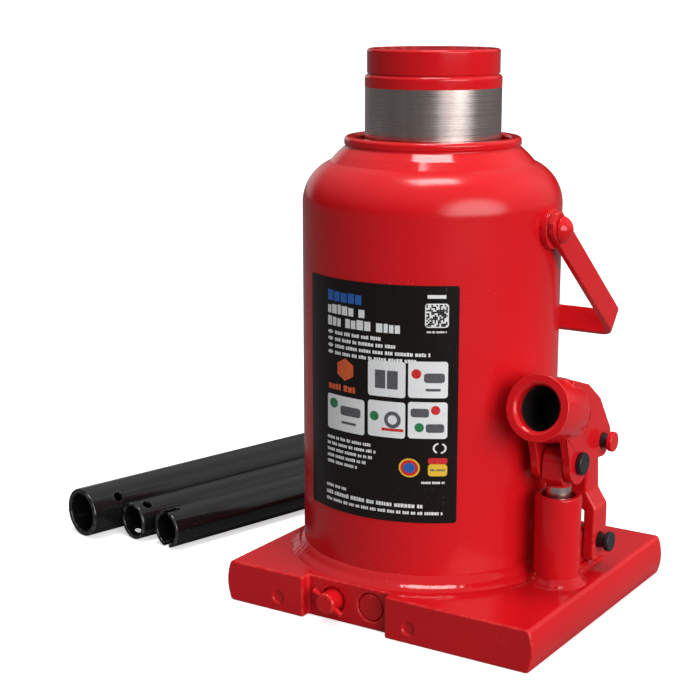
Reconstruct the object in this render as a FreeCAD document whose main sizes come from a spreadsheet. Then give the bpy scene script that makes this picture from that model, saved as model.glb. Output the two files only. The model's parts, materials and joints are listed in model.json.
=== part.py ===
"""Welded hydraulic bottle jack, with its carry handle, pump linkage and loose handle tubes.

Millimetres, +Z up. The origin is on the floor, under the axis of the ram. The pump stands on
the +X side, the release valve faces -Y, and the carry handle hangs back towards +Y.
"""
import FreeCAD, Part
import math
import os
import re

import Sketcher
from FreeCAD import Placement, Rotation, Vector

# Each driving size: name, value, what it is.
SIZES = [
    # base plate
    ("base_left_margin", 7.1, "casing to the left edge of the flat top"),
    ("base_right_margin", 6.5, "pump cylinder to the right edge of the flat top"),
    ("base_front_margin", 11.6, "casing to the front and back edges"),
    ("base_thick", 20.0, "plate thickness"),
    ("base_bulge_radius", 24.0, "radius of the rounded left and right edges"),
    ("base_corner", 2.0, "rounding of the long top and bottom edges"),
    ("notch_left", 25.5, "ram axis to the left wall of the valve notch"),
    ("notch_right", 19.0, "ram axis to the right wall of the valve notch"),
    ("notch_depth", 5.0, "depth of the valve notch in the front face"),
    ("gallery_left", 39.5, "ram axis to the left sealed gallery end"),
    ("gallery_right", 31.5, "ram axis to the right sealed gallery end"),
    ("gallery_height", 7.2, "height of the galleries"),
    ("gallery_bore_radius", 3.4, "bore of a gallery end"),
    ("gallery_depth", 30.0, "how far a gallery is drilled"),
    ("seal_ball_inset", 1.2, "how far a sealing ball sits below the face"),
    # reservoir casing
    ("casing_radius", 60.9, "outside of the reservoir tube"),
    ("casing_wall", 3.0, "wall of the reservoir tube"),
    ("casing_straight", 169.0, "straight wall of the casing above the plate"),
    ("shoulder_steep", 5.6, "rise of the shoulder beyond its width"),
    ("collar_overlap", 2.4, "collar foot beyond the mouth of the shoulder"),
    # collar
    ("cone_flare", 7.3, "foot of the collar cone beyond its neck"),
    ("lip_undercut", 1.0, "neck under the lip, beyond the lip"),
    ("collar_lip_wall", 4.4, "wall of the rounded lip"),
    ("mouth_clear", 4.45, "opening of the collar round the ram"),
    ("collar_cone_rise", 5.6, "height of the cone"),
    ("collar_lip_rise", 4.6, "height of the lip"),
    # hydraulic cylinder and ram
    ("ram_radius", 31.75, "ram"),
    ("ram_length", 227.3, "ram from the foot of its piston to its top"),
    ("ram_chamfer", 1.2, "edge of the ram under the saddle"),
    ("bore_clear", 2.65, "bore of the hydraulic cylinder round the ram"),
    ("cylinder_wall", 5.8, "wall of the hydraulic cylinder"),
    ("gasket_thick", 1.5, "cylinder gasket"),
    ("piston_fit", 0.1, "running gap of the piston"),
    ("piston_height", 12.0, "steel piston height"),
    ("tail_step", 4.75, "step to the turned down foot of the ram"),
    ("ram_lift_off", 1.0, "gap under the piston at rest"),
    ("piston_ring_height", 3.0, "guide ring round the piston"),
    ("piston_seal_height", 4.0, "lip seal round the piston"),
    ("ring_depth", 2.2, "how deep the rings sit in the piston"),
    ("ring_step", 2.0, "land between the grooves of the piston"),
    ("gland_height", 21.0, "gland nut"),
    ("gland_fit", 0.06, "running gap between gland and ram"),
    ("bush_wall", 2.0, "guide bush wall"),
    ("bush_height", 12.0, "guide bush height"),
    ("wiper_height", 4.0, "wiper seal height"),
    ("wiper_wall", 2.6, "wiper seal wall"),
    ("oring_section", 2.0, "section of the gland o-ring"),
    ("gland_screw_gap", 0.1, "gap of the gland in the cylinder"),
    ("gland_seat", 3.0, "gland nut beyond the cylinder bore"),
    # saddle
    ("saddle_step", 0.95, "ram beyond the saddle"),
    ("saddle_height", 11.7, "saddle above the ram"),
    ("saddle_edge", 1.2, "rounding of the saddle"),
    ("spigot_radius", 14.0, "spigot under the saddle"),
    ("spigot_length", 14.0, "spigot depth in the ram"),
    ("spigot_gap", 0.05, "gap round the spigot"),
    ("grip_ring_width", 2.0, "grip grooves on the saddle"),
    ("grip_ring_depth", 0.8, "grip grooves on the saddle"),
    ("grip_ring_pitch", 5.0, "spacing of the grip grooves"),
    # welds
    ("foot_weld_leg", 5.6, "weld round the casing foot"),
    ("pump_weld_leg", 3.2, "weld round the pump foot"),
    ("lug_weld_leg", 3.0, "weld round the link lug"),
    # pump
    ("pump_clear", 3.2, "casing to the pump cylinder"),
    ("pump_front", 11.4, "pump axis ahead of the ram axis"),
    ("pump_radius", 10.7, "outside of the pump cylinder"),
    ("pump_bore", 8.0, "upper bore of the pump cylinder"),
    ("pump_height", 41.8, "pump cylinder above the plate"),
    ("pump_recess", 6.0, "how deep the pump is let into the base"),
    ("plunger_radius", 5.75, "pump plunger"),
    ("plunger_fit", 0.05, "running gap of the plunger"),
    ("plunger_lift", 7.0, "plate to the lower end of the plunger"),
    ("eye_clear", 5.6, "pump cylinder to the eye of the plunger"),
    ("plunger_eye_width", 10.4, "eye across the cheeks"),
    ("plunger_eye_deep", 15.6, "eye front to back"),
    ("plunger_eye_rise", 6.6, "eye above the pin centre"),
    ("gland_ring_height", 9.0, "pump guide ring"),
    ("pump_seal_height", 4.0, "pump lip seal"),
    ("pump_lip", 8.0, "top of the pump cylinder to its guide ring"),
    # lever and link
    ("plunger_pin_rise", 15.9, "pump cylinder to the plunger pin"),
    ("link_pin_back", 13.5, "lever and link pin behind the ram axis"),
    ("link_pin_rise", 4.9, "plunger pin up to the link pin"),
    ("foot_pin_back", 14.1, "link foot pin behind the ram axis"),
    ("foot_pin_rise", 13.8, "plate to the link foot pin"),
    ("cheek_outer", 10.0, "middle plane to the outside of a cheek"),
    ("cheek_inner", 6.0, "middle plane to the inside of a cheek"),
    ("cheek_nose", 9.8, "rounding round the plunger pin"),
    ("socket_front", 36.3, "socket mouth ahead of the ram axis"),
    ("socket_rise", 25.0, "link pin up to the middle of the socket mouth"),
    ("socket_tilt", 15.5, "socket axis above level, in degrees"),
    ("socket_radius", 15.1, "outside of the socket"),
    ("socket_bore", 10.3, "bore of the socket"),
    ("socket_depth", 31.0, "depth of the socket bore"),
    ("socket_barrel", 22.0, "length of the full barrel"),
    ("socket_taper", 13.0, "length of the tapered end"),
    ("socket_chamfer", 1.2, "mouth chamfer"),
    ("flat_clear", 0.3, "casing to the flat on the socket"),
    ("flat_start", 3.0, "mouth to the start of the flat"),
    ("pin_radius", 3.4, "link pins"),
    ("plunger_pin_radius", 3.0, "plunger pin"),
    ("pin_hole_gap", 0.06, "running gap round a pin"),
    ("head_radius", 4.7, "pin heads"),
    ("plunger_head_radius", 5.2, "head of the plunger pin"),
    ("head_thick", 2.4, "pin head thickness"),
    ("head_stand", 3.6, "bare shank between the link and a head"),
    ("clip_radius", 5.4, "retaining clip"),
    ("clip_thick", 0.9, "retaining clip thickness"),
    ("clip_gap", 0.3, "cheek to clip"),
    ("pin_tail", 1.0, "pin beyond its clip"),
    ("slot_play", 1.6, "front to back play in the plunger eye"),
    ("slot_rise", 0.45, "play above and below the pin in the plunger eye"),
    ("link_half_top", 5.4, "upper link, middle plane to side"),
    ("link_half_foot", 10.0, "link fork, middle plane to side"),
    ("link_front", 6.2, "link ahead of its pins"),
    ("link_back", 7.8, "link behind its pins"),
    ("flare_rise", 16.7, "foot pin to where the fork is full width"),
    ("flare_length", 7.0, "height of the flare"),
    ("link_foot_gap", 4.0, "plate to the lower end of the link"),
    ("fork_gap", 0.4, "lug to fork, each side"),
    ("lug_half", 3.4, "lug, middle plane to side"),
    ("lug_front", 8.0, "lug ahead of the pin"),
    ("lug_back", 11.0, "lug behind the pin"),
    ("fork_rise", 15.2, "foot pin to the top of the fork's slot"),
    # carry handle
    ("bail_pivot_drop", 8.0, "shoulder down to the pivots of the carry handle"),
    ("bail_strap_width", 13.0, "strap"),
    ("bail_strap_thick", 3.2, "strap"),
    ("bail_clear", 3.4, "casing to the inner face of an arm"),
    ("bail_rest_gap", 0.3, "grip to the back of the casing at rest"),
    ("bail_drop", 39.3, "arms below level at rest, in degrees"),
    ("bail_bend", 4.0, "inside radius of the bends"),
    ("bail_end", 9.5, "strap beyond its pivots"),
    ("boss_radius", 9.0, "pivot boss on the casing"),
    ("boss_gap", 0.3, "pivot boss to strap"),
    ("rivet_radius", 3.6, "rivet shank"),
    ("rivet_gap", 0.08, "rivet in the strap"),
    ("rivet_head", 6.4, "dome of the rivet"),
    ("rivet_dome", 4.6, "height of the dome"),
    # release valve
    ("valve_across", 11.9, "release valve, left of the ram axis"),
    ("valve_rise", 0.2, "release valve above the middle of the plate"),
    ("valve_bore", 6.2, "release valve bore"),
    ("valve_bore_depth", 26.0, "release valve bore depth"),
    ("valve_screw_radius", 5.1, "release screw head"),
    ("valve_body_radius", 6.1, "release screw inside its bore"),
    ("valve_stand", 7.4, "release screw beyond the notch face"),
    ("valve_oring_section", 1.2, "release screw o-ring"),
    ("valve_ball_radius", 3.0, "release valve ball"),
    ("cross_pin_radius", 1.4, "cross pin"),
    ("cross_pin_length", 18.0, "cross pin"),
    ("cross_pin_turn", 32.0, "cross pin, turned from level, in degrees"),
    # relief valve
    ("plug_across", 8.6, "relief plug, right of the ram axis"),
    ("plug_rise", 0.7, "relief plug above the middle of the plate"),
    ("plug_radius", 6.4, "relief plug"),
    ("plug_gap", 0.35, "gap round the relief plug"),
    ("plug_length", 7.0, "relief plug"),
    ("relief_bore", 4.0, "relief bore"),
    ("relief_depth", 26.0, "relief bore depth"),
    ("relief_ball_radius", 3.2, "relief ball"),
    ("spring_wire", 1.0, "wire of the valve springs"),
    ("spring_radius", 2.9, "mean radius of the valve springs"),
    ("spring_pitch", 2.6, "pitch of the valve springs"),
    # suction and delivery
    ("check_ball_radius", 3.5, "suction and delivery balls"),
    ("check_bore", 4.0, "bores of the check valves"),
    ("delivery_across", 16.0, "delivery valve, right of the ram axis"),
    ("port_floor", 5.0, "floor of the check bores"),
    ("oil_way_radius", 2.2, "oil way from the pump to the ram"),
    ("filter_radius", 5.0, "suction filter"),
    ("filter_thick", 1.2, "suction filter"),
    # filler plug at the back
    ("filler_drop", 24.0, "shoulder down to the filler plug"),
    ("filler_radius", 5.0, "filler plug stem"),
    ("filler_head", 7.5, "filler plug head"),
    ("filler_head_thick", 3.0, "filler plug head"),
    # data label
    ("label_rise", 31.1, "plate to the lower edge of the label"),
    ("label_height", 108.8, "height of the label"),
    ("label_middle", 85.8, "middle of the label, clockwise from +X, in degrees"),
    ("label_turn", 74.6, "label round the casing, in degrees"),
    ("label_thick", 0.25, "label"),
    # loose handle tubes
    ("tube_length", 250.0, "each handle tube"),
    ("tube_heading", 75.8, "tubes on the floor from +X, in degrees"),
    ("wide_tube_radius", 13.0, "joining tube"),
    ("slim_tube_radius", 10.0, "grip tube and key tube"),
    ("wide_tube_wall", 2.6, "joining tube wall"),
    ("slim_tube_wall", 2.0, "slim tube wall"),
    ("wide_tube_across", -190.0, "mouth of the joining tube"),
    ("wide_tube_front", -42.4, "mouth of the joining tube"),
    ("grip_tube_across", -163.6, "mouth of the grip tube"),
    ("grip_tube_front", -31.8, "mouth of the grip tube"),
    ("key_tube_across", -140.2, "mouth of the key tube"),
    ("key_tube_front", -32.6, "mouth of the key tube"),
    ("tube_hole_radius", 2.6, "cross hole near a tube mouth"),
    ("wide_hole_back", 17.0, "mouth to cross hole, joining tube"),
    ("wide_hole_tilt", 37.0, "cross hole above level, in degrees"),
    ("grip_hole_back", 7.0, "mouth to cross hole, grip tube"),
    ("grip_hole_tilt", 65.0, "cross hole above level, in degrees"),
    ("key_slot_width", 4.2, "slot across the key tube's mouth"),
    ("key_slot_depth", 9.0, "slot depth in the key tube"),
]
NAMES = {name for name, value, note in SIZES}

# Places and radii that follow from the sizes, so that what stands on the plate, beside the
# casing or round the ram moves with it.
FOLLOWS = {
    "base_left": "casing_radius + base_left_margin",
    "base_right": "pump_across + pump_radius + base_right_margin",
    "base_depth": "2 * (casing_radius + base_front_margin)",
    "shoulder_start": "base_thick + casing_straight",
    "collar_mouth_radius": "ram_radius + mouth_clear",
    "collar_lip_radius": "collar_mouth_radius + collar_lip_wall",
    "collar_neck_radius": "collar_lip_radius + lip_undercut",
    "collar_foot_radius": "collar_neck_radius + cone_flare",
    "shoulder_mouth": "collar_foot_radius - collar_overlap",
    "shoulder_width": "casing_radius - shoulder_mouth",
    "shoulder_rise": "shoulder_width + shoulder_steep",
    "shoulder_arc": "(shoulder_width ^ 2 + shoulder_rise ^ 2) / (2 * shoulder_width)",
    "ram_top": "base_thick + ram_lift_off + ram_length",
    "ram_tail_radius": "ram_radius - tail_step",
    "saddle_radius": "ram_radius - saddle_step",
    "saddle_top": "ram_top + saddle_height",
    "cylinder_bore": "ram_radius + bore_clear",
    "cylinder_radius": "cylinder_bore + cylinder_wall",
    "piston_radius": "cylinder_bore - piston_fit",
    "gland_radius": "cylinder_bore + gland_seat",
    "pump_across": "casing_radius + pump_clear + pump_radius",
    "pump_top": "base_thick + pump_height",
    "plunger_foot": "base_thick + plunger_lift",
    "plunger_eye_start": "pump_top + eye_clear",
    "plunger_pin_height": "pump_top + plunger_pin_rise",
    "link_pin_height": "plunger_pin_height + link_pin_rise",
    "foot_pin_height": "base_thick + foot_pin_rise",
    "socket_height": "link_pin_height + socket_rise",
    "flat_across": "pump_across - casing_radius - flat_clear",
    "link_flare_low": "foot_pin_height + flare_rise",
    "link_flare_high": "link_flare_low + flare_length",
    "link_foot": "base_thick + link_foot_gap",
    "fork_top": "foot_pin_height + fork_rise",
    "bail_pivot_height": "shoulder_start - bail_pivot_drop",
    "bail_inner": "casing_radius + bail_clear",
    "bail_reach": "(casing_radius + bail_rest_gap + bail_strap_width / 2 * sin(bail_drop)) / cos(bail_drop)",
    "valve_height": "base_thick / 2 + valve_rise",
    "plug_height": "base_thick / 2 + plug_rise",
    "filter_across": "(cylinder_radius + casing_radius - casing_wall) / 2",
    "filler_height": "shoulder_start - filler_drop",
    "label_low": "base_thick + label_rise",
    "label_high": "label_low + label_height",
}

# Heights and faces that several pieces share, as expressions of the sizes above.
SHOULDER_TOP = "(shoulder_start + shoulder_rise)"
GLAND_TOP = f"({SHOULDER_TOP} + collar_cone_rise - 0.3)"
GLAND_FLOOR = f"({GLAND_TOP} - gland_height)"
PISTON_FOOT = "(base_thick + ram_lift_off)"
NOTCH_FACE = "(base_depth / 2 - notch_depth)"
PLUNGER_BORE = "(plunger_radius + plunger_fit)"
PUMP_GUIDE_TOP = "(pump_top - pump_lip)"
PUMP_SEAL_FLOOR = f"({PUMP_GUIDE_TOP} - gland_ring_height - pump_seal_height)"
PIN_HOLE = "(pin_radius + pin_hole_gap)"
THROUGH = "400"

doc = FreeCAD.newDocument("bottle_jack")
sheet = doc.addObject("Spreadsheet::Sheet", "sizes")
subparts = []


def fill_sheet():
    """Write every driving size and its note, with the size's name as alias."""
    for row, (name, number, note) in enumerate(SIZES, start=1):
        sheet.set(f"A{row}", name)
        sheet.set(f"B{row}", str(number))
        sheet.set(f"C{row}", note)
        sheet.setAlias(f"B{row}", name)
    doc.recompute()


def spelled_out(text):
    """Put the sizes themselves in place of what follows from them."""
    while any(word in FOLLOWS for word in re.findall(r"[a-z_]+", text)):
        for word in set(re.findall(r"[a-z_]+", text)) & set(FOLLOWS):
            text = re.sub(rf"\b{word}\b", f"({FOLLOWS[word]})", text)
    return text


def linked(text):
    """Turn size names in an expression into references to the sheet."""
    words = spelled_out(text)
    return re.sub(r"[a-z_]+", lambda word: "sizes." + word[0] if word[0] in NAMES else word[0], words)


def size(text):
    """Number that an expression of size names gives now."""
    return float(sheet.evalExpression(spelled_out(text)))


def bind(item, prop, text):
    """Tie one property of an object to an expression of size names."""
    item.setExpression(prop, linked(text))


def add_body(label, across="0", back="0", height="0"):
    """Start a sub-part: a body with its own label and a placement tied to the sheet."""
    body = doc.addObject("PartDesign::Body", label)
    body.Label = label
    for prop, text in zip("xyz", (across, back, height)):
        bind(body, f"Placement.Base.{prop}", text)
    subparts.append(body)
    return body


def turn_body(body, axis, degrees):
    """Turn a body about its own origin by an angle tied to the sheet."""
    body.Placement.Rotation = Rotation(Vector(*axis), size(degrees))
    bind(body, "Placement.Rotation.Angle", degrees)


def add_sketch(body, role, offset="0"):
    """Sketch on one of the body's origin planes, moved along the plane's normal."""
    sketch = body.newObject("Sketcher::SketchObject", body.Name + "_sketch")
    origin_plane = next(item for item in body.Origin.OriginFeatures if item.Role == role)
    sketch.AttachmentSupport = [(origin_plane, "")]
    sketch.MapMode = "FlatFace"
    bind(sketch, "AttachmentOffset.Base.z", offset)
    return sketch


def pin_point(sketch, edge, end, across, up):
    """Tie one end of an edge to its two coordinates."""
    for kind, text, axis in (("DistanceX", across, -2), ("DistanceY", up, -1)):
        if text == "0":
            sketch.addConstraint(Sketcher.Constraint("PointOnObject", edge, end, axis))
        else:
            rule = Sketcher.Constraint(kind, -1, 1, edge, end, size(text))
            number = sketch.addConstraint(rule)
            bind(sketch, f"Constraints[{number}]", text)


def arc_through(start, end, radius):
    """Anticlockwise arc from start to end, which swells to the right of that way."""
    span = end - start
    middle = (start + end) * 0.5
    inward = Vector(-span.y, span.x, 0).normalize()
    centre = middle + inward * math.sqrt(max(radius**2 - (span.Length / 2) ** 2, 0))
    angles = [math.atan2(point.y - centre.y, point.x - centre.x) for point in (start, end)]
    if angles[1] < angles[0]:
        angles[1] += 2 * math.pi
    return Part.ArcOfCircle(Part.Circle(centre, Vector(0, 0, 1), radius), *angles)


def draw_outline(sketch, points, arcs=None, hollow=()):
    """Closed anticlockwise outline of straight edges and arcs.

    arcs gives the radius of each curved edge by its number. It swells outwards, unless its
    number is in hollow.
    """
    arcs = arcs or {}
    corners = [Vector(size(across), size(up), 0) for across, up in points]
    first = sketch.GeometryCount
    count = len(points)
    starts = [2 if number in hollow else 1 for number in range(count)]
    for number, corner in enumerate(corners):
        following = corners[(number + 1) % count]
        if number in hollow:
            sketch.addGeometry(arc_through(following, corner, size(arcs[number])))
        elif number in arcs:
            sketch.addGeometry(arc_through(corner, following, size(arcs[number])))
        else:
            sketch.addGeometry(Part.LineSegment(corner, following))
    for number in range(count):
        after = (number + 1) % count
        ends = (first + number, 3 - starts[number], first + after, starts[after])
        sketch.addConstraint(Sketcher.Constraint("Coincident", *ends))
    for number, (across, up) in enumerate(points):
        pin_point(sketch, first + number, starts[number], across, up)
    for number, radius in arcs.items():
        rule = Sketcher.Constraint("Radius", first + number, size(radius))
        bind(sketch, f"Constraints[{sketch.addConstraint(rule)}]", radius)


def draw_circle(sketch, across, up, radius):
    """Circle with its middle and radius tied to the sheet."""
    middle = Vector(size(across), size(up), 0)
    edge = sketch.addGeometry(Part.Circle(middle, Vector(0, 0, 1), size(radius)))
    pin_point(sketch, edge, 3, across, up)
    rule = Sketcher.Constraint("Radius", edge, size(radius))
    bind(sketch, f"Constraints[{sketch.addConstraint(rule)}]", radius)


def revolve(body, points, arcs=None, axis="V_Axis", angle=None):
    """Turn an outline about the body's Z axis, or about its X axis with axis H_Axis."""
    sketch = add_sketch(body, "XZ_Plane")
    draw_outline(sketch, points, arcs)
    turned = body.newObject("PartDesign::Revolution", body.Name + "_turned")
    turned.Profile = sketch
    turned.ReferenceAxis = (sketch, [axis])
    if angle:
        turned.Midplane = True
        bind(turned, "Angle", angle)
    return turned


def pad(body, role, offset, length, points, arcs=None, hollow=(), both_ways=False):
    """Thicken an outline from a plane, along its normal or to both sides."""
    sketch = add_sketch(body, role, offset)
    draw_outline(sketch, points, arcs, hollow)
    thick = body.newObject("PartDesign::Pad", body.Name + "_pad")
    thick.Profile = sketch
    thick.Midplane = both_ways
    bind(thick, "Length", length)
    return thick


def cut(body, role, offset, length, draw, both_ways=False):
    """Cut away what draw sketches, against the plane's normal or to both sides."""
    sketch = add_sketch(body, role, offset)
    draw(sketch)
    pocket = body.newObject("PartDesign::Pocket", body.Name + "_cut")
    pocket.Profile = sketch
    pocket.Midplane = both_ways
    bind(pocket, "Length", length)
    return pocket


def cut_hole(body, role, offset, length, across, up, radius, both_ways=False):
    """Round hole from a plane."""
    return cut(body, role, offset, length, lambda sk: draw_circle(sk, across, up, radius), both_ways)


def cut_outline(body, role, offset, length, points, both_ways=False):
    """Pocket with a closed straight-edged outline."""
    return cut(body, role, offset, length, lambda sk: draw_outline(sk, points), both_ways)


def box_points(low_across, low_up, high_across, high_up):
    """Corners of a rectangle, anticlockwise."""
    return [(low_across, low_up), (high_across, low_up), (high_across, high_up), (low_across, high_up)]


def ring(label, inner, outer, low, high, place=("0", "0", "0")):
    """Plain ring round an upright axis, or a disc with an inner radius of 0."""
    body = add_body(label, *place)
    revolve(body, box_points(inner, low, outer, high))
    return body


def ball(label, radius, place):
    """Steel ball."""
    body = add_body(label, *place)
    sphere = body.newObject("PartDesign::AdditiveSphere", label + "_ball")
    bind(sphere, "Radius", radius)
    return body


def torus(label, radius, section, place):
    """Round-section ring about its own Z axis."""
    body = add_body(label, *place)
    donut = body.newObject("PartDesign::AdditiveTorus", label + "_torus")
    bind(donut, "Radius1", radius)
    bind(donut, "Radius2", section)
    return body


def spring(label, length, place):
    """Open coil spring along its own Z axis."""
    body = add_body(label, *place)
    sketch = add_sketch(body, "XZ_Plane")
    draw_circle(sketch, "spring_radius", "0", "spring_wire / 2")
    coil = body.newObject("PartDesign::AdditiveHelix", label + "_coil")
    coil.Profile = sketch
    coil.ReferenceAxis = (sketch, ["V_Axis"])
    coil.Mode = 0
    bind(coil, "Pitch", "spring_pitch")
    bind(coil, "Height", length)
    return body


def base_plate():
    """Thick plate with rolled ends, a valve notch and the drilled oil ways."""
    body = add_body("base_plate")
    left = "-base_left"
    right = "base_right"
    outline = [
        (f"{left} + base_corner", "0"),
        (f"{right} - base_corner", "0"),
        (right, "base_corner"),
        (right, "base_thick - base_corner"),
        (f"{right} - base_corner", "base_thick"),
        (f"{left} + base_corner", "base_thick"),
        (left, "base_thick - base_corner"),
        (left, "base_corner"),
    ]
    rounding = {number: "base_corner * 1.2" for number in (1, 3, 5, 7)}
    rounding.update({2: "base_bulge_radius", 6: "base_bulge_radius"})
    pad(body, "XZ_Plane", "0", "base_depth", outline, rounding, both_ways=True)
    notch = box_points("-notch_left", "-base_depth / 2 - 1", "notch_right", "-base_depth / 2 + notch_depth")
    cut_outline(body, "XY_Plane", "base_thick + 1", "base_thick + 2", notch)
    front_holes = [
        (NOTCH_FACE, "valve_bore_depth", "-valve_across", "valve_height", "valve_bore"),
        (NOTCH_FACE, "plug_length", "plug_across", "plug_height", "plug_radius + plug_gap"),
        (NOTCH_FACE, "relief_depth", "plug_across", "plug_height", "relief_bore"),
        ("base_depth / 2", "gallery_depth", "-gallery_left", "gallery_height", "gallery_bore_radius"),
        ("base_depth / 2", "gallery_depth", "gallery_right", "gallery_height", "gallery_bore_radius"),
    ]
    for face, depth, across, height, radius in front_holes:
        cut_hole(body, "XZ_Plane", face, depth, across, height, radius)
    check_depth = "base_thick - port_floor"
    top_holes = [
        ("pump_recess", "pump_across", "-pump_front", "pump_radius"),
        (check_depth, "pump_across", "-pump_front", "check_bore"),
        (check_depth, "delivery_across", "-pump_front", "check_bore"),
        ("filter_thick", "-filter_across", "0", "filter_radius"),
    ]
    for depth, across, back, radius in top_holes:
        cut_hole(body, "XY_Plane", "base_thick", depth, across, back, radius)
    way_length = "pump_across - delivery_across"
    way_height = "port_floor + oil_way_radius + 1"
    cut_hole(body, "YZ_Plane", "pump_across", way_length, "-pump_front", way_height, "oil_way_radius")


def base_fittings():
    """Balls pressed into the gallery ends, the check valves and the suction filter."""
    back = "-base_depth / 2 + seal_ball_inset + gallery_bore_radius"
    for side, across in (("left", "-gallery_left"), ("right", "gallery_right")):
        ball(f"{side}_gallery_ball", "gallery_bore_radius", (across, back, "gallery_height"))
    rest = "port_floor + check_ball_radius"
    ball("suction_ball", "check_ball_radius", ("pump_across", "-pump_front", rest))
    ball("delivery_ball", "check_ball_radius", ("delivery_across", "-pump_front", rest))
    spring_foot = "port_floor + 2 * check_ball_radius + spring_wire / 2"
    spring_room = "base_thick - port_floor - 2 * check_ball_radius - spring_wire - 0.3"
    spring("delivery_spring", spring_room, ("delivery_across", "-pump_front", spring_foot))
    low = "base_thick - filter_thick"
    ring("suction_filter", "0", "filter_radius", low, "base_thick", ("-filter_across", "0", "0"))


def reservoir_casing():
    """Tube and spun shoulder in one wall, with a hole at the back for the filler plug."""
    body = add_body("reservoir_casing")
    inner = "casing_radius - casing_wall"
    outline = [
        (inner, "base_thick"),
        ("casing_radius", "base_thick"),
        ("casing_radius", "shoulder_start"),
        ("shoulder_mouth", SHOULDER_TOP),
        ("shoulder_mouth", f"{SHOULDER_TOP} - casing_wall"),
        (inner, "shoulder_start - 1"),
    ]
    revolve(body, outline, {2: "shoulder_arc"})
    cut_hole(body, "XZ_Plane", "0", "casing_radius + 5", "0", "filler_height", "filler_radius")


def filler_plug():
    """Rubber plug in the filler hole."""
    body = add_body("filler_plug", height="filler_height")
    turn_body(body, (0, 0, 1), "90")
    outline = [
        ("casing_radius - casing_wall - 2", "0"),
        ("casing_radius + filler_head_thick", "0"),
        ("casing_radius + filler_head_thick", "filler_head - 1"),
        ("casing_radius + filler_head_thick - 1", "filler_head"),
        ("casing_radius + 0.05", "filler_head"),
        ("casing_radius + 0.05", "filler_radius"),
        ("casing_radius - casing_wall - 2", "filler_radius"),
    ]
    revolve(body, outline, {2: "1.2"}, axis="H_Axis")


def neck_collar():
    """Collar with a flared foot and a rounded lip round the ram."""
    body = add_body("neck_collar", height=SHOULDER_TOP)
    lip_top = "collar_cone_rise + collar_lip_rise"
    skirt = "cylinder_radius + 0.1"
    outline = [
        (skirt, "-6"),
        ("shoulder_mouth", "-6"),
        ("shoulder_mouth", "0"),
        ("collar_foot_radius", "0"),
        ("collar_neck_radius", "collar_cone_rise"),
        ("collar_lip_radius", lip_top),
        ("collar_mouth_radius", lip_top),
        ("collar_mouth_radius", "collar_cone_rise"),
        (skirt, "collar_cone_rise"),
    ]
    lip = {4: "collar_lip_rise * 0.6", 5: "(collar_lip_radius - collar_mouth_radius) * 0.8"}
    revolve(body, outline, lip)


def hydraulic_cylinder():
    """Thick inner tube that the ram rises out of, standing on its gasket."""
    low = "base_thick + gasket_thick"
    seat = "gland_radius + gland_screw_gap"
    body = add_body("hydraulic_cylinder")
    outline = [
        ("cylinder_bore", low),
        ("cylinder_radius", low),
        ("cylinder_radius", GLAND_TOP),
        (seat, GLAND_TOP),
        (seat, GLAND_FLOOR),
        ("cylinder_bore", GLAND_FLOOR),
    ]
    revolve(body, outline)
    ring("cylinder_gasket", "cylinder_bore", "cylinder_radius", "base_thick", low)


def cylinder_head():
    """Gland nut at the mouth of the cylinder, with its bush, wiper and o-ring."""
    body = add_body("gland_nut")
    running = "ram_radius + gland_fit"
    bush_top = f"{GLAND_FLOOR} + bush_height"
    groove = f"{GLAND_FLOOR} + gland_height / 2"
    outline = [
        (f"{running} + bush_wall", GLAND_FLOOR),
        ("gland_radius", GLAND_FLOOR),
        ("gland_radius", f"{groove} - oring_section / 2"),
        ("gland_radius - oring_section", f"{groove} - oring_section / 2"),
        ("gland_radius - oring_section", f"{groove} + oring_section / 2"),
        ("gland_radius", f"{groove} + oring_section / 2"),
        ("gland_radius", GLAND_TOP),
        ("ram_radius + wiper_wall", GLAND_TOP),
        ("ram_radius + wiper_wall", f"{GLAND_TOP} - wiper_height"),
        (running, f"{GLAND_TOP} - wiper_height"),
        (running, bush_top),
        (f"{running} + bush_wall", bush_top),
    ]
    revolve(body, outline)
    ring("guide_bush", running, f"{running} + bush_wall", GLAND_FLOOR, bush_top)
    ring("wiper_seal", running, "ram_radius + wiper_wall", f"{GLAND_TOP} - wiper_height", GLAND_TOP)
    torus("gland_oring", "gland_radius - oring_section / 2", "oring_section / 2", ("0", "0", groove))


def ram():
    """Polished ram with a turned down foot and a socket for the saddle's spigot."""
    body = add_body("ram")
    socket_floor = "ram_top - spigot_length"
    shoulder = f"{PISTON_FOOT} + piston_height"
    outline = [
        ("0", PISTON_FOOT),
        ("ram_tail_radius", PISTON_FOOT),
        ("ram_tail_radius", shoulder),
        ("ram_radius", shoulder),
        ("ram_radius", "ram_top - ram_chamfer"),
        ("ram_radius - ram_chamfer", "ram_top"),
        ("spigot_radius + spigot_gap", "ram_top"),
        ("spigot_radius + spigot_gap", socket_floor),
        ("0", socket_floor),
    ]
    revolve(body, outline)


def ram_piston():
    """Piston on the foot of the ram, with its guide ring and lip seal."""
    body = add_body("ram_piston")
    depth = "piston_radius - ring_depth"
    ring_low = f"{PISTON_FOOT} + ring_step"
    ring_high = f"({ring_low} + piston_ring_height)"
    seal_low = f"{ring_high} + ring_step"
    seal_high = f"({seal_low} + piston_seal_height)"
    outline = [
        ("ram_tail_radius", PISTON_FOOT),
        ("piston_radius", PISTON_FOOT),
        ("piston_radius", ring_low),
        (depth, ring_low),
        (depth, ring_high),
        ("piston_radius", ring_high),
        ("piston_radius", seal_low),
        (depth, seal_low),
        (depth, seal_high),
        ("piston_radius", seal_high),
        ("piston_radius", f"{PISTON_FOOT} + piston_height"),
        ("ram_tail_radius", f"{PISTON_FOOT} + piston_height"),
    ]
    revolve(body, outline)
    ring("piston_guide_ring", depth, "piston_radius", ring_low, ring_high)
    ring("piston_lip_seal", depth, "piston_radius", seal_low, seal_high)


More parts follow.
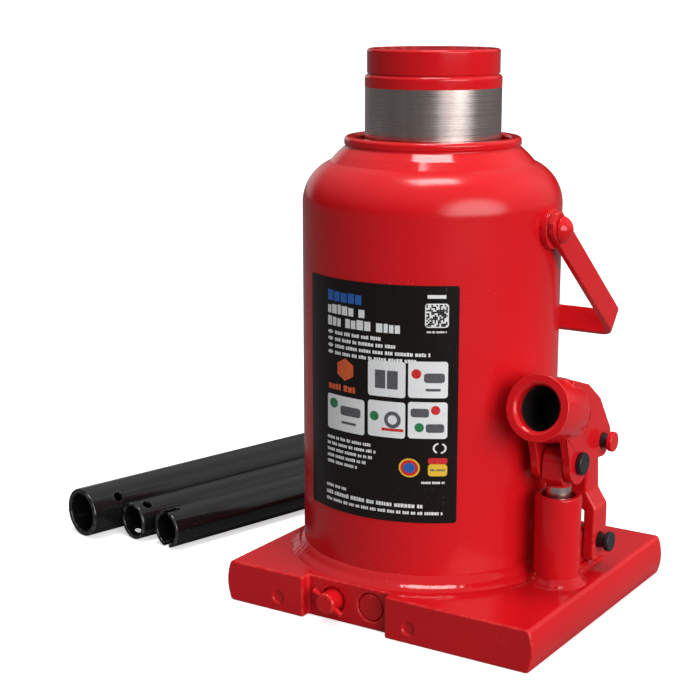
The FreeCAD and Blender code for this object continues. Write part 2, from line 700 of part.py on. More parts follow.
def saddle():
    """Round saddle with grip grooves and a spigot into the ram."""
    body = add_body("saddle")
    outline = [
        ("0", "ram_top - spigot_length + 0.5"),
        ("spigot_radius", "ram_top - spigot_length + 0.5"),
        ("spigot_radius", "ram_top"),
        ("saddle_radius", "ram_top"),
        ("saddle_radius", "saddle_top - saddle_edge"),
        ("saddle_radius - saddle_edge", "saddle_top"),
    ]
    for step in (1, 2, 3, 4):
        outer = f"saddle_radius - grip_ring_pitch * {step}"
        outline += [
            (outer, "saddle_top"),
            (f"{outer} - grip_ring_width / 2", "saddle_top - grip_ring_depth"),
            (f"{outer} - grip_ring_width", "saddle_top"),
        ]
    outline.append(("0", "saddle_top"))
    revolve(body, outline, {4: "saddle_edge"})


def bead(label, inner, leg, place=("0", "0", "0")):
    """Fillet weld bead in the corner between a round wall and the base plate."""
    body = add_body(label, *place)
    outline = [
        (inner, "base_thick"),
        (f"{inner} + {leg}", "base_thick"),
        (f"{inner} + {leg} * 0.92", f"base_thick + {leg} * 0.25"),
        (f"{inner} + {leg} * 0.25", f"base_thick + {leg} * 0.92"),
        (inner, f"base_thick + {leg}"),
    ]
    revolve(body, outline, {2: f"{leg} * 1.6"})
    return body


def welds():
    """Weld beads round the casing, the pump and the link lug."""
    foot = bead("casing_weld", "casing_radius", "foot_weld_leg")
    cut_hole(foot, "XY_Plane", "base_thick", THROUGH, "pump_across", "-pump_front", "pump_radius", True)
    pump = bead("pump_weld", "pump_radius", "pump_weld_leg", ("pump_across", "-pump_front", "0"))
    reach = "casing_radius + foot_weld_leg"
    cut_hole(pump, "XY_Plane", "base_thick", THROUGH, "-pump_across", "pump_front", reach, True)
    lug = add_body("lug_weld", "pump_across", "foot_pin_back", "base_thick")
    low = ("-lug_half - lug_weld_leg", "-lug_front - lug_weld_leg")
    high = ("lug_half + lug_weld_leg", "lug_back + lug_weld_leg")
    block = pad(lug, "XY_Plane", "0", "lug_weld_leg", box_points(*low, *high))
    doc.recompute()
    slope = lug.newObject("PartDesign::Chamfer", "lug_weld_slope")
    slope.Base = (block, top_edges(block))
    bind(slope, "Size", "lug_weld_leg * 0.9")
    lug_room = box_points("-lug_half", "-lug_front", "lug_half", "lug_back")
    cut_outline(lug, "XY_Plane", "lug_weld_leg", "lug_weld_leg", lug_room)


def top_edges(feature):
    """Names of the edges round the highest flat face of a feature."""
    shape = feature.Shape
    top = shape.BoundBox.ZMax
    near = [number for number, edge in enumerate(shape.Edges, start=1)
            if abs(edge.BoundBox.ZMin - top) < 0.01]
    return [f"Edge{number}" for number in near]


def pump():
    """Pump cylinder, its guide ring and lip seal, and the plunger with its eye."""
    place = ("pump_across", "-pump_front", "0")
    cylinder = add_body("pump_cylinder", *place)
    foot = "base_thick - pump_recess"
    outline = [
        ("check_bore", foot),
        ("pump_radius", foot),
        ("pump_radius", "pump_top - 0.8"),
        ("pump_radius - 0.8", "pump_top"),
        ("pump_bore + 0.6", "pump_top"),
        ("pump_bore", "pump_top - 0.6"),
        ("pump_bore", PUMP_SEAL_FLOOR),
        (PLUNGER_BORE, PUMP_SEAL_FLOOR),
        (PLUNGER_BORE, "base_thick"),
        ("check_bore", "base_thick"),
    ]
    revolve(cylinder, outline)
    seal_top = f"{PUMP_SEAL_FLOOR} + pump_seal_height"
    ring("pump_lip_seal", PLUNGER_BORE, "pump_bore", PUMP_SEAL_FLOOR, seal_top, place)
    ring("pump_guide_ring", PLUNGER_BORE, "pump_bore", seal_top, PUMP_GUIDE_TOP, place)
    plunger = add_body("pump_plunger", *place)
    rod = [
        ("0", "plunger_foot"),
        ("plunger_radius - 1", "plunger_foot"),
        ("plunger_radius", "plunger_foot + 1"),
        ("plunger_radius", "plunger_eye_start + 1"),
        ("0", "plunger_eye_start + 1"),
    ]
    revolve(plunger, rod)
    half = "plunger_eye_deep / 2"
    eye = [
        (f"-{half} + 2", "plunger_eye_start"),
        (f"{half} - 2", "plunger_eye_start"),
        (half, "plunger_eye_start + 3"),
        (half, "plunger_pin_height"),
        (f"{half} - 4", "plunger_pin_height + plunger_eye_rise"),
        (f"-{half} + 4", "plunger_pin_height + plunger_eye_rise"),
        (f"-{half}", "plunger_pin_height"),
        (f"-{half}", "plunger_eye_start + 3"),
    ]
    rounding = {3: "plunger_eye_deep * 0.55", 5: "plunger_eye_deep * 0.55"}
    pad(plunger, "YZ_Plane", "0", "plunger_eye_width", eye, rounding, both_ways=True)
    grip = "plunger_pin_radius + slot_rise"
    slot = [
        ("-slot_play", f"plunger_pin_height - ({grip})"),
        ("slot_play", f"plunger_pin_height - ({grip})"),
        ("slot_play", f"plunger_pin_height + {grip}"),
        ("-slot_play", f"plunger_pin_height + {grip}"),
    ]
    slot_arcs = {1: f"({grip}) * 1.001", 3: f"({grip}) * 1.001"}
    cut(plunger, "YZ_Plane", "0", THROUGH, lambda sk: draw_outline(sk, slot, slot_arcs), True)


def tilted_feature(body, kind, turn, place, values):
    """Cylinder or cone whose axis is tipped from +Z towards +Y by an angle."""
    piece = body.newObject(kind, body.Name + "_round")
    piece.Placement.Rotation = Rotation(Vector(-1, 0, 0), size(turn))
    bind(piece, "Placement.Rotation.Angle", turn)
    for prop, text in zip("xyz", place):
        bind(piece, f"Placement.Base.{prop}", text)
    for prop, text in values.items():
        bind(piece, prop, text)


def barrel_piece(body, kind, along, values):
    """Round feature on the socket's axis, starting some way behind the mouth."""
    back = f"-socket_front + ({along}) * cos(socket_tilt)"
    height = f"socket_height - ({along}) * sin(socket_tilt)"
    tilted_feature(body, kind, "90 + socket_tilt", ("0", back, height), values)


def handle_socket():
    """Lever: a tilted socket for the handle, with two cheeks for its pins below it."""
    body = add_body("handle_socket", "pump_across")
    nose = "cheek_nose"
    outline = [
        ("-socket_front + 10", "socket_height - socket_radius + 0.4"),
        (f"-pump_front - {nose}", "plunger_pin_height + 1"),
        (f"-pump_front - {nose} * 0.55", f"plunger_pin_height - {nose} * 0.83"),
        (f"-pump_front + {nose} * 0.55", f"plunger_pin_height - {nose} * 0.83"),
        ("-pump_front + 13", "plunger_pin_height - 1.7"),
        ("link_pin_back + 1.5", "link_pin_height - 8"),
        ("link_pin_back + 7.6", "link_pin_height - 3.6"),
        ("link_pin_back + 8.4", "link_pin_height + 4.5"),
        ("link_pin_back - 4", "link_pin_height + 21.2"),
        ("link_pin_back - 17", "link_pin_height + 30.2"),
        ("-socket_front + 16", "socket_height + socket_radius - 4.6"),
    ]
    rounding = {1: nose, 2: nose, 5: "9", 6: "10"}
    pad(body, "YZ_Plane", "0", "cheek_outer * 2", outline, rounding, both_ways=True)
    full = {"Radius": "socket_radius", "Height": "socket_barrel"}
    barrel_piece(body, "PartDesign::AdditiveCylinder", "0", full)
    taper = {"Radius1": "socket_radius", "Radius2": "cheek_outer + 0.3", "Height": "socket_taper"}
    barrel_piece(body, "PartDesign::AdditiveCone", "socket_barrel", taper)
    gap = [
        ("-socket_front + 9.8", "plunger_pin_height - 20"),
        ("link_pin_back + 20", "plunger_pin_height - 20"),
        ("link_pin_back + 20", "link_pin_height + 7.6"),
        ("link_pin_back - 9.5", "link_pin_height + 7.6"),
        ("link_pin_back - 15.5", "plunger_pin_height + 7.3"),
        ("-socket_front + 9.8", "plunger_pin_height + 13.9"),
    ]
    cut_outline(body, "YZ_Plane", "0", "cheek_inner * 2", gap, both_ways=True)
    bore = {"Radius": "socket_bore", "Height": "socket_depth"}
    barrel_piece(body, "PartDesign::SubtractiveCylinder", "0", bore)
    mouth = {"Radius1": "socket_bore + socket_chamfer", "Radius2": "socket_bore"}
    mouth["Height"] = "socket_chamfer"
    barrel_piece(body, "PartDesign::SubtractiveCone", "0", mouth)
    low_corner = ("-socket_front + flat_start", "plunger_pin_height")
    beside = box_points(*low_corner, "link_pin_back + 60", "socket_height + 60")
    cut_outline(body, "YZ_Plane", "-flat_across", THROUGH, beside)
    holes = [
        ("-pump_front", "plunger_pin_height", "plunger_pin_radius + pin_hole_gap"),
        ("link_pin_back", "link_pin_height", PIN_HOLE),
    ]
    for back, height, radius in holes:
        cut_hole(body, "YZ_Plane", "0", THROUGH, back, height, radius, both_ways=True)


def pin(label, clip_label, radius, head, stand, back, height):
    """Headed pin across the cheeks, with a clip on the casing side."""
    body = add_body(label, "pump_across", back, height)
    face = f"cheek_outer + {stand}"
    clip_at = "(-cheek_outer - clip_gap)"
    outline = [
        (f"{clip_at} - clip_thick - pin_tail", "0"),
        (f"{face} + head_thick", "0"),
        (f"{face} + head_thick", f"{head} - 0.6"),
        (f"{face} + head_thick - 0.6", head),
        (face, head),
        (face, radius),
        (f"{clip_at} - clip_thick - pin_tail + 0.5", radius),
        (f"{clip_at} - clip_thick - pin_tail", f"{radius} - 0.5"),
    ]
    revolve(body, outline, {2: "0.7"}, axis="H_Axis")
    clip = add_body(clip_label, "pump_across", back, height)
    washer = box_points(f"{clip_at} - clip_thick", radius, clip_at, "clip_radius")
    revolve(clip, washer, axis="H_Axis")


def pins():
    """The three pins of the pump linkage."""
    front = "-pump_front"
    pin("plunger_pin", "plunger_pin_clip", "plunger_pin_radius", "plunger_head_radius", "0.3",
        front, "plunger_pin_height")
    pin("link_pin", "link_pin_clip", "pin_radius", "head_radius", "head_stand",
        "link_pin_back", "link_pin_height")
    pin("foot_pin", "foot_pin_clip", "pin_radius", "head_radius", "head_stand",
        "foot_pin_back", "foot_pin_height")


def pump_link():
    """Forked link between the lever and the lug on the base."""
    body = add_body("pump_link", "pump_across")
    front = "foot_pin_back - link_front"
    back = "foot_pin_back + link_back"
    crown = "link_pin_height"
    outline = [
        (f"{front} + 3.5", "link_foot"),
        (f"{back} - 3.5", "link_foot"),
        (back, "link_foot + 3.5"),
        (back, "link_flare_high"),
        ("link_pin_back + 6.3", crown),
        ("link_pin_back - 6.3", crown),
        (front, "link_flare_high"),
        (front, "link_foot + 3.5"),
    ]
    rounding = {1: "3.6", 4: "6.5", 7: "3.6"}
    pad(body, "YZ_Plane", "0", "link_half_foot * 2", outline, rounding, both_ways=True)
    above = "link_pin_height + 20"
    right = [
        ("link_half_foot", "link_flare_low"),
        ("link_half_foot + 5", "link_flare_low"),
        ("link_half_foot + 5", above),
        ("link_half_top", above),
        ("link_half_top", "link_flare_high"),
    ]
    left = [(f"-({across})", up) for across, up in reversed(right)]
    for side in (right, left):
        cut_outline(body, "XZ_Plane", "0", THROUGH, side, both_ways=True)
    fork = "lug_half + fork_gap"
    slot = box_points(f"-({fork})", "0", fork, "fork_top")
    cut_outline(body, "XZ_Plane", "0", THROUGH, slot, both_ways=True)
    for back_at, height in (("foot_pin_back", "foot_pin_height"), ("link_pin_back", "link_pin_height")):
        cut_hole(body, "YZ_Plane", "0", THROUGH, back_at, height, PIN_HOLE, both_ways=True)


def link_lug():
    """Lug welded to the base, which carries the foot of the link."""
    body = add_body("link_lug", "pump_across", "foot_pin_back")
    outline = [
        ("-lug_front", "base_thick"),
        ("lug_back", "base_thick"),
        ("lug_front - 0.2", "foot_pin_height"),
        ("-lug_front + 0.2", "foot_pin_height"),
    ]
    pad(body, "YZ_Plane", "0", "lug_half * 2", outline, {2: "lug_front"}, both_ways=True)
    cut_hole(body, "YZ_Plane", "0", THROUGH, "0", "foot_pin_height", PIN_HOLE, both_ways=True)


def carry_handle():
    """Flat strap bent into a bail, hanging back from its two pivots."""
    body = add_body("carry_handle", height="bail_pivot_height")
    body.Placement.Rotation = Rotation(Vector(-1, 0, 0), size("bail_drop"))
    bind(body, "Placement.Rotation.Angle", "bail_drop")
    inner = "bail_inner"
    outer = "(bail_inner + bail_strap_thick)"
    far = "(bail_reach + bail_strap_thick)"
    bend = "bail_bend"
    wide_bend = "(bail_bend + bail_strap_thick)"
    outline = [
        (inner, "-bail_end"),
        (outer, "-bail_end"),
        (outer, f"{far} - {wide_bend}"),
        (f"{outer} - {wide_bend}", far),
        (f"-{outer} + {wide_bend}", far),
        (f"-{outer}", f"{far} - {wide_bend}"),
        (f"-{outer}", "-bail_end"),
        (f"-{inner}", "-bail_end"),
        (f"-{inner}", f"bail_reach - {bend}"),
        (f"-{inner} + {bend}", "bail_reach"),
        (f"{inner} - {bend}", "bail_reach"),
        (inner, f"bail_reach - {bend}"),
    ]
    bends = {2: wide_bend, 4: wide_bend, 8: bend, 10: bend}
    pad(body, "XY_Plane", "0", "bail_strap_width", outline, bends, hollow=(8, 10), both_ways=True)
    cut_hole(body, "YZ_Plane", "0", THROUGH, "0", "0", "rivet_radius + rivet_gap", both_ways=True)
    half = "bail_strap_width / 2"
    clip = "bail_strap_width * 0.3"
    corners = [
        [("-bail_end - 1", f"-{half} - 1"), (f"-bail_end + {clip}", f"-{half} - 1"),
         (f"-bail_end + {clip}", f"-{half}"), ("-bail_end", f"-{half} + {clip}"),
         ("-bail_end - 1", f"-{half} + {clip}")],
        [("-bail_end - 1", f"{half} - {clip}"), ("-bail_end", f"{half} - {clip}"),
         (f"-bail_end + {clip}", half), (f"-bail_end + {clip}", f"{half} + 1"),
         ("-bail_end - 1", f"{half} + 1")],
    ]
    for corner in corners:
        cut_outline(body, "YZ_Plane", "0", THROUGH, corner, both_ways=True)


def bail_pivots():
    """Pivot boss on each side of the casing, and the rivet that holds the strap to it."""
    for side, turn in (("right", "0"), ("left", "180")):
        boss = add_body(f"{side}_pivot_boss", height="bail_pivot_height")
        turn_body(boss, (0, 0, 1), turn)
        sketch = add_sketch(boss, "YZ_Plane", "casing_radius - 4")
        draw_circle(sketch, "0", "0", "boss_radius")
        disc = boss.newObject("PartDesign::Pad", f"{side}_boss_pad")
        disc.Profile = sketch
        bind(disc, "Length", "bail_inner - boss_gap - casing_radius + 4")
        cut_hole(boss, "XY_Plane", "0", THROUGH, "0", "0", "casing_radius", both_ways=True)
        cut_hole(boss, "YZ_Plane", "bail_inner", THROUGH, "0", "0", "rivet_radius")
        rivet = add_body(f"{side}_pivot_rivet", height="bail_pivot_height")
        turn_body(rivet, (0, 0, 1), turn)
        seat = "(bail_inner + bail_strap_thick + 0.2)"
        outline = [
            ("casing_radius + 0.2", "0"),
            (f"{seat} + rivet_dome", "0"),
            (seat, "rivet_head"),
            (seat, "rivet_radius"),
            ("casing_radius + 0.2", "rivet_radius"),
        ]
        dome = "(rivet_head * rivet_head + rivet_dome * rivet_dome) / (2 * rivet_dome) * 1.001"
        revolve(rivet, outline, {1: dome}, axis="H_Axis")


def release_valve():
    """Release screw with its cross pin, o-ring and ball."""
    place = ("-valve_across", f"-{NOTCH_FACE}", "valve_height")
    screw = add_body("release_screw", *place)
    turn_body(screw, (0, 0, -1), "90")
    tip = "(-valve_bore_depth + 2 * valve_ball_radius + 0.3)"
    groove = "valve_oring_section"
    outline = [
        (tip, "0"),
        ("valve_stand", "0"),
        ("valve_stand", "valve_screw_radius - 0.8"),
        ("valve_stand - 0.8", "valve_screw_radius"),
        ("-2", "valve_screw_radius"),
        ("-2", "valve_body_radius"),
        ("-4", "valve_body_radius"),
        ("-4", f"valve_body_radius - {groove}"),
        (f"-4 - {groove}", f"valve_body_radius - {groove}"),
        (f"-4 - {groove}", "valve_body_radius"),
        (f"{tip} + 2", "valve_body_radius"),
        (tip, "valve_ball_radius"),
    ]
    revolve(screw, outline, axis="H_Axis")
    reach = "valve_stand * 0.6"
    half = "cross_pin_length / 2"
    low_end = (reach, f"-{half} * cos(cross_pin_turn)", f"{half} * sin(cross_pin_turn)")
    hole = {"Radius": "cross_pin_radius", "Height": "cross_pin_length"}
    tilted_feature(screw, "PartDesign::SubtractiveCylinder", "90 + cross_pin_turn", low_end, hole)
    cross = add_body("release_cross_pin", "-valve_across", f"-{NOTCH_FACE} - {reach}", "valve_height")
    turn_body(cross, (0, 1, 0), "cross_pin_turn")
    rod = [
        (f"-{half}", "0"),
        (half, "0"),
        (half, "cross_pin_radius - 0.4"),
        (f"{half} - 0.4", "cross_pin_radius"),
        (f"-{half} + 0.4", "cross_pin_radius"),
        (f"-{half}", "cross_pin_radius - 0.4"),
    ]
    revolve(cross, rod, axis="H_Axis")
    seal = torus("release_oring", f"valve_body_radius - {groove} / 2", f"{groove} / 2",
                 ("-valve_across", f"-{NOTCH_FACE} + 4 + {groove} / 2", "valve_height"))
    turn_body(seal, (1, 0, 0), "90")
    seat = f"-{NOTCH_FACE} + valve_bore_depth - valve_ball_radius"
    ball("release_ball", "valve_ball_radius", ("-valve_across", seat, "valve_height"))


def relief_valve():
    """Relief valve: flush plug, spring and ball."""
    body = add_body("relief_plug", "plug_across", f"-{NOTCH_FACE}", "plug_height")
    turn_body(body, (0, 0, -1), "90")
    outline = [
        ("-plug_length", "0"),
        ("-0.3", "0"),
        ("-0.3", "plug_radius - 0.5"),
        ("-0.8", "plug_radius"),
        ("-plug_length", "plug_radius"),
    ]
    revolve(body, outline, axis="H_Axis")
    seat = f"-{NOTCH_FACE} + relief_depth - relief_ball_radius"
    ball("relief_ball", "relief_ball_radius", ("plug_across", seat, "plug_height"))
    start = f"-{NOTCH_FACE} + relief_depth - 2 * relief_ball_radius - spring_wire / 2"
    room = "relief_depth - plug_length - 2 * relief_ball_radius - spring_wire - 0.3"
    coil = spring("relief_spring", room, ("plug_across", start, "plug_height"))
    turn_body(coil, (1, 0, 0), "90")


def data_label():
    """Thin label wrapped round the front of the casing."""
    body = add_body("data_label")
    turn_body(body, (0, 0, -1), "label_middle")
    outline = box_points("casing_radius", "label_low", "casing_radius + label_thick", "label_high")
    revolve(body, outline, angle="label_turn")


def handle_tube(label, radius, wall, across, front):
    """One loose steel tube lying on the floor, mouth to the front."""
    body = add_body(label, across, front, radius)
    turn_body(body, (0, 0, 1), "tube_heading")
    inner = f"{radius} - {wall}"
    outline = [
        ("0.4", inner),
        ("tube_length - 0.4", inner),
        ("tube_length", f"{inner} + 0.4"),
        ("tube_length", f"{radius} - 0.5"),
        ("tube_length - 0.5", radius),
        ("0.5", radius),
        ("0", f"{radius} - 0.5"),
        ("0", f"{inner} + 0.4"),
    ]
    revolve(body, outline, axis="H_Axis")
    return body


def cross_hole(tube, back, tilt):
    """Drill a tube across behind its mouth, tilted up on the side that faces the front."""

    def draw(sketch):
        sketch.AttachmentOffset.Rotation = Rotation(Vector(-1, 0, 0), size(tilt))
        bind(sketch, "AttachmentOffset.Rotation.Angle", tilt)
        draw_circle(sketch, back, "0", "tube_hole_radius")

    cut(tube, "XZ_Plane", "0", THROUGH, draw, both_ways=True)


def handle_tubes():
    """The three parts of the pump handle, laid beside the jack."""
    joining = handle_tube("joining_tube", "wide_tube_radius", "wide_tube_wall",
                          "wide_tube_across", "wide_tube_front")
    cross_hole(joining, "wide_hole_back", "wide_hole_tilt")
    grip = handle_tube("grip_tube", "slim_tube_radius", "slim_tube_wall",
                       "grip_tube_across", "grip_tube_front")
    cross_hole(grip, "grip_hole_back", "grip_hole_tilt")
    key = handle_tube("key_tube", "slim_tube_radius", "slim_tube_wall",
                      "key_tube_across", "key_tube_front")
    slot = box_points("-1", "-key_slot_width / 2", "key_slot_depth", "key_slot_width / 2")
    cut_outline(key, "XY_Plane", "0", THROUGH, slot, both_ways=True)


def check_document():
    """Stop if any object failed or any sub-part has no valid shape."""
    for item in doc.Objects:
        if any(word in item.State for word in ("Invalid", "Error")):
            raise RuntimeError(f"{item.Name} failed: {item.State}")
    for body in subparts:
        if body.Shape.isNull() or not body.Shape.isValid() or not body.Shape.Solids:
            raise RuntimeError(f"{body.Label} has no valid shape")


def write_parts():
    """Write each sub-part to its own file."""
    os.makedirs("parts", exist_ok=True)
    for body in subparts:
        body.Shape.exportStep(f"parts/{body.Label}.step")


fill_sheet()
base_plate()
base_fittings()
reservoir_casing()
filler_plug()
neck_collar()
hydraulic_cylinder()
cylinder_head()
ram()
ram_piston()
saddle()
welds()
pump()
handle_socket()
pins()
pump_link()
link_lug()
carry_handle()
bail_pivots()
release_valve()
relief_valve()
data_label()
handle_tubes()
doc.recompute()
check_document()
write_parts()
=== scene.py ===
"""Finished look of a bottle jack with its pump linkage, carry handle and three loose handle tubes.

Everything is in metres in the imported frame: +Z is up along the ram, +X points to the pump and -Y to
the release valve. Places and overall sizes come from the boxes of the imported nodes.
"""

import json
import logging
import math
import random
from dataclasses import dataclass
from enum import Enum
from typing import Callable, Iterable, Sequence

import bmesh
import bpy
from mathutils import Matrix, Vector, noise

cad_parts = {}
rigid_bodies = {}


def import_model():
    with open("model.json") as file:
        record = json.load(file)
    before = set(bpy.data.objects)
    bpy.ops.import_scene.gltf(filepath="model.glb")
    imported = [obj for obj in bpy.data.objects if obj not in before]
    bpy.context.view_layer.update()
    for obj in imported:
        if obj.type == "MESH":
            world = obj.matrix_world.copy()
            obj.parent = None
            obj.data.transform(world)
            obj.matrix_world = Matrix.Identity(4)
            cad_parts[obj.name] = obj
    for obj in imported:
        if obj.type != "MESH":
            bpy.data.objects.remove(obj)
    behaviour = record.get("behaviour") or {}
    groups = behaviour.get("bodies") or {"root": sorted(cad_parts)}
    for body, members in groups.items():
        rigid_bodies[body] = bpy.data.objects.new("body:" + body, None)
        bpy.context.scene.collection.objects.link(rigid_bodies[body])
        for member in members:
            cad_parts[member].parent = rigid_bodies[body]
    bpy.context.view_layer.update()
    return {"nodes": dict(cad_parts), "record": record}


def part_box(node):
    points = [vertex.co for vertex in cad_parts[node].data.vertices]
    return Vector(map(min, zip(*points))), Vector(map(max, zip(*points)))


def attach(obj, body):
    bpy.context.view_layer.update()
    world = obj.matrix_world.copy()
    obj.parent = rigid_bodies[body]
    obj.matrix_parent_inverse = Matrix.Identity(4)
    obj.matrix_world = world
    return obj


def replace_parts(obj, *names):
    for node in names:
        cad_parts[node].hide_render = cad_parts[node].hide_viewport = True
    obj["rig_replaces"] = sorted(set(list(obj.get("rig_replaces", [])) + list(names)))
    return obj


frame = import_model()

log = logging.getLogger("bottle_jack")

MM = 0.001
SHARP = math.radians(32.0)
FLAT = math.radians(0.5)
MERGE = 2e-6
SQUARE_ON = 0.9
DUST_ON_PAINT = (0.5, 0.46, 0.42)
DUST_ON_RUBBER = (0.5, 0.47, 0.44)

Colour = tuple[float, float, float]
Point = tuple[float, float]


class Body(Enum):
    """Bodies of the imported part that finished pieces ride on."""

    JACK = "jack"
    RAM = "ram"
    PLUNGER = "plunger"
    LINK = "link"
    LEVER = "lever"
    SCREW = "valve_screw"
    BAIL = "bail"
    JOINING = "joining_tube"
    GRIP = "grip_tube"
    KEY = "key_tube"


class Slot(Enum):
    """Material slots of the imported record."""

    RED_PAINT = "red_paint"
    POLISHED = "polished_steel"
    MACHINED = "machined_steel"
    BRONZE = "bronze"
    RUBBER = "seal_rubber"
    NYLON = "nylon"
    BALL = "ball_steel"
    SPRING = "spring_steel"
    FILTER = "filter_mesh"
    OXIDE = "black_oxide"
    LABEL = "label_film"
    BLACK = "black_enamel"


class Axis(Enum):
    """Axis of the frame, as its number."""

    X = 0
    Y = 1
    Z = 2


# ---------------------------------------------------------------------------------------------
# Shading
# ---------------------------------------------------------------------------------------------


class Board:
    """Nodes and links of one shader tree."""

    def __init__(self, tree: bpy.types.NodeTree) -> None:
        """Keep the tree that nodes are added to."""
        self.tree = tree

    def add(self, kind: str, **settings: object) -> bpy.types.Node:
        """Add a node.

        Args:
            kind: Blender's name of the node type.
            settings: properties set on the node.

        Returns:
            The new node.
        """
        node = self.tree.nodes.new(kind)
        for name, setting in settings.items():
            setattr(node, name, setting)
        return node

    def feed(self, node: bpy.types.Node, **inputs: object) -> bpy.types.Node:
        """Link or set inputs of a node by name, with underscores for spaces.

        Args:
            node: the node whose inputs are fed.
            inputs: an output socket to link, or a plain value to set.

        Returns:
            The same node.
        """
        for name, source in inputs.items():
            self.plug(source, node.inputs[name.replace("_", " ")])
        return node

    def plug(self, source: object, socket: bpy.types.NodeSocket) -> None:
        """Link one input to an output socket, or set it to a plain value.

        Args:
            source: the output socket or the value.
            socket: the input.
        """
        if isinstance(source, bpy.types.NodeSocket):
            self.tree.links.new(source, socket)
        else:
            socket.default_value = source

    def math(self, operation: str, first: object, second: object) -> bpy.types.NodeSocket:
        """Add a Math node on two inputs.

        Args:
            operation: Blender's name of the operation.
            first: first input, a socket or a number.
            second: second input, a socket or a number.

        Returns:
            The result's socket.
        """
        node = self.add("ShaderNodeMath", operation=operation)
        for socket, source in zip(node.inputs, (first, second)):
            self.plug(source, socket)
        return node.outputs[0]

    def spread(self, value: bpy.types.NodeSocket, low: float, high: float,
               first: float, last: float) -> bpy.types.NodeSocket:
        """Map a varying value from one range to another.

        Args:
            value: the socket to read.
            low: value that gives first.
            high: value that gives last.
            first: output at low.
            last: output at high.

        Returns:
            The mapped value's socket.
        """
        node = self.add("ShaderNodeMapRange", clamp=True)
        self.feed(node, Value=value, From_Min=low, From_Max=high, To_Min=first, To_Max=last)
        return node.outputs["Result"]

    def stretched(self, vector: bpy.types.NodeSocket, scale: Colour) -> bpy.types.NodeSocket:
        """Scale a pattern along the three axes and return its coordinates."""
        node = self.feed(self.add("ShaderNodeMapping"), Vector=vector, Scale=scale)
        return node.outputs["Vector"]

    def cloud(self, vector: bpy.types.NodeSocket, scale: float,
              detail: float = 3.0) -> bpy.types.NodeSocket:
        """Add a noise texture and return its value from 0 to 1."""
        node = self.feed(self.add("ShaderNodeTexNoise"), Vector=vector, Scale=scale, Detail=detail)
        return node.outputs["Fac"]

    def blend(self, amount: bpy.types.NodeSocket, first: bpy.types.NodeSocket,
              second: object) -> bpy.types.NodeSocket:
        """Mix two colours by a varying amount.

        Args:
            amount: share of the second colour.
            first: the first colour's socket.
            second: the second colour, as a socket or a plain colour.

        Returns:
            The mixed colour's socket.
        """
        if not isinstance(second, bpy.types.NodeSocket):
            second = (*second, 1.0)
        node = self.add("ShaderNodeMix", data_type="RGBA")
        for name, source in {"Factor_Float": amount, "A_Color": first, "B_Color": second}.items():
            self.plug(source, next(port for port in node.inputs if port.identifier == name))
        return next(port for port in node.outputs if port.identifier == "Result_Color")


Wiring = Callable[[Board, bpy.types.Node, bpy.types.Node], None]


def shared_effect(name: str, inputs: dict[str, str], outputs: dict[str, str],
                  wire: Wiring) -> bpy.types.NodeTree:
    """Build a node group once and return it.

    Args:
        name: name of the group.
        inputs: socket kind for each named input.
        outputs: socket kind for each named output.
        wire: function that fills the group.

    Returns:
        The node group.
    """
    group = bpy.data.node_groups.get(name)
    if group is None:
        group = bpy.data.node_groups.new(name, "ShaderNodeTree")
        for direction, ports in (("INPUT", inputs), ("OUTPUT", outputs)):
            for port, kind in ports.items():
                group.interface.new_socket(name=port, in_out=direction, socket_type=f"NodeSocket{kind}")
        board = Board(group)
        wire(board, board.add("NodeGroupInput"), board.add("NodeGroupOutput"))
    return group


def wire_orange_peel(board: Board, given: bpy.types.Node, result: bpy.types.Node) -> None:
    """Fill the group for sprayed enamel: a fine peel over a slow wave of the coat.

    Args:
        board: the group's board.
        given: node that holds the group's inputs.
        result: node that takes the group's outputs.
    """
    peel = board.cloud(given.outputs["Place"], 520.0, 1.0)
    wave = board.cloud(given.outputs["Place"], 70.0, 1.0)
    haze = board.cloud(given.outputs["Place"], 24.0, 4.0)
    fine = board.math("MULTIPLY", peel, given.outputs["Peel"])
    board.feed(result, Height=board.math("ADD", fine, wave), Haze=haze)


def wire_tone_drift(board: Board, given: bpy.types.Node, result: bpy.types.Node) -> None:
    """Fill the group for a colour that drifts softly to a second one.

    Args:
        board: the group's board.
        given: node that holds the group's inputs.
        result: node that takes the group's outputs.
    """
    drift = board.cloud(given.outputs["Place"], 13.0, 3.0)
    amount = board.spread(drift, 0.35, 0.72, 0.0, 1.0)
    tone = board.blend(amount, given.outputs["Main"], given.outputs["Second"])
    board.feed(result, Colour=tone)


def wire_tool_marks(board: Board, given: bpy.types.Node, result: bpy.types.Node) -> None:
    """Fill the group for fine parallel lines left by a lathe, a saw or a drawing die.

    Args:
        board: the group's board.
        given: node that holds the group's inputs.
        result: node that takes the group's outputs.
    """
    fine = board.cloud(given.outputs["Place"], 1.0, 2.0)
    broad = board.cloud(board.stretched(given.outputs["Place"], (0.22, 0.22, 0.22)), 1.0, 1.0)
    lines = board.math("ADD", fine, board.math("MULTIPLY", broad, 0.8))
    board.feed(result, Height=lines, Tone=board.spread(lines, 0.65, 1.15, 0.0, 1.0))


def wire_edge_highlight(board: Board, given: bpy.types.Node, result: bpy.types.Node) -> None:
    """Fill the group for a painted highlight along rounded edges, broken up by a fine grain.

    Args:
        board: the group's board.
        given: node that holds the group's inputs.
        result: node that takes the group's outputs.
    """
    grain = board.cloud(given.outputs["Place"], 300.0, 4.0)
    broken = board.spread(grain, 0.42, 0.6, 0.0, 1.0)
    board.feed(result, Mask=board.math("MULTIPLY", broken, given.outputs["Edge"]))


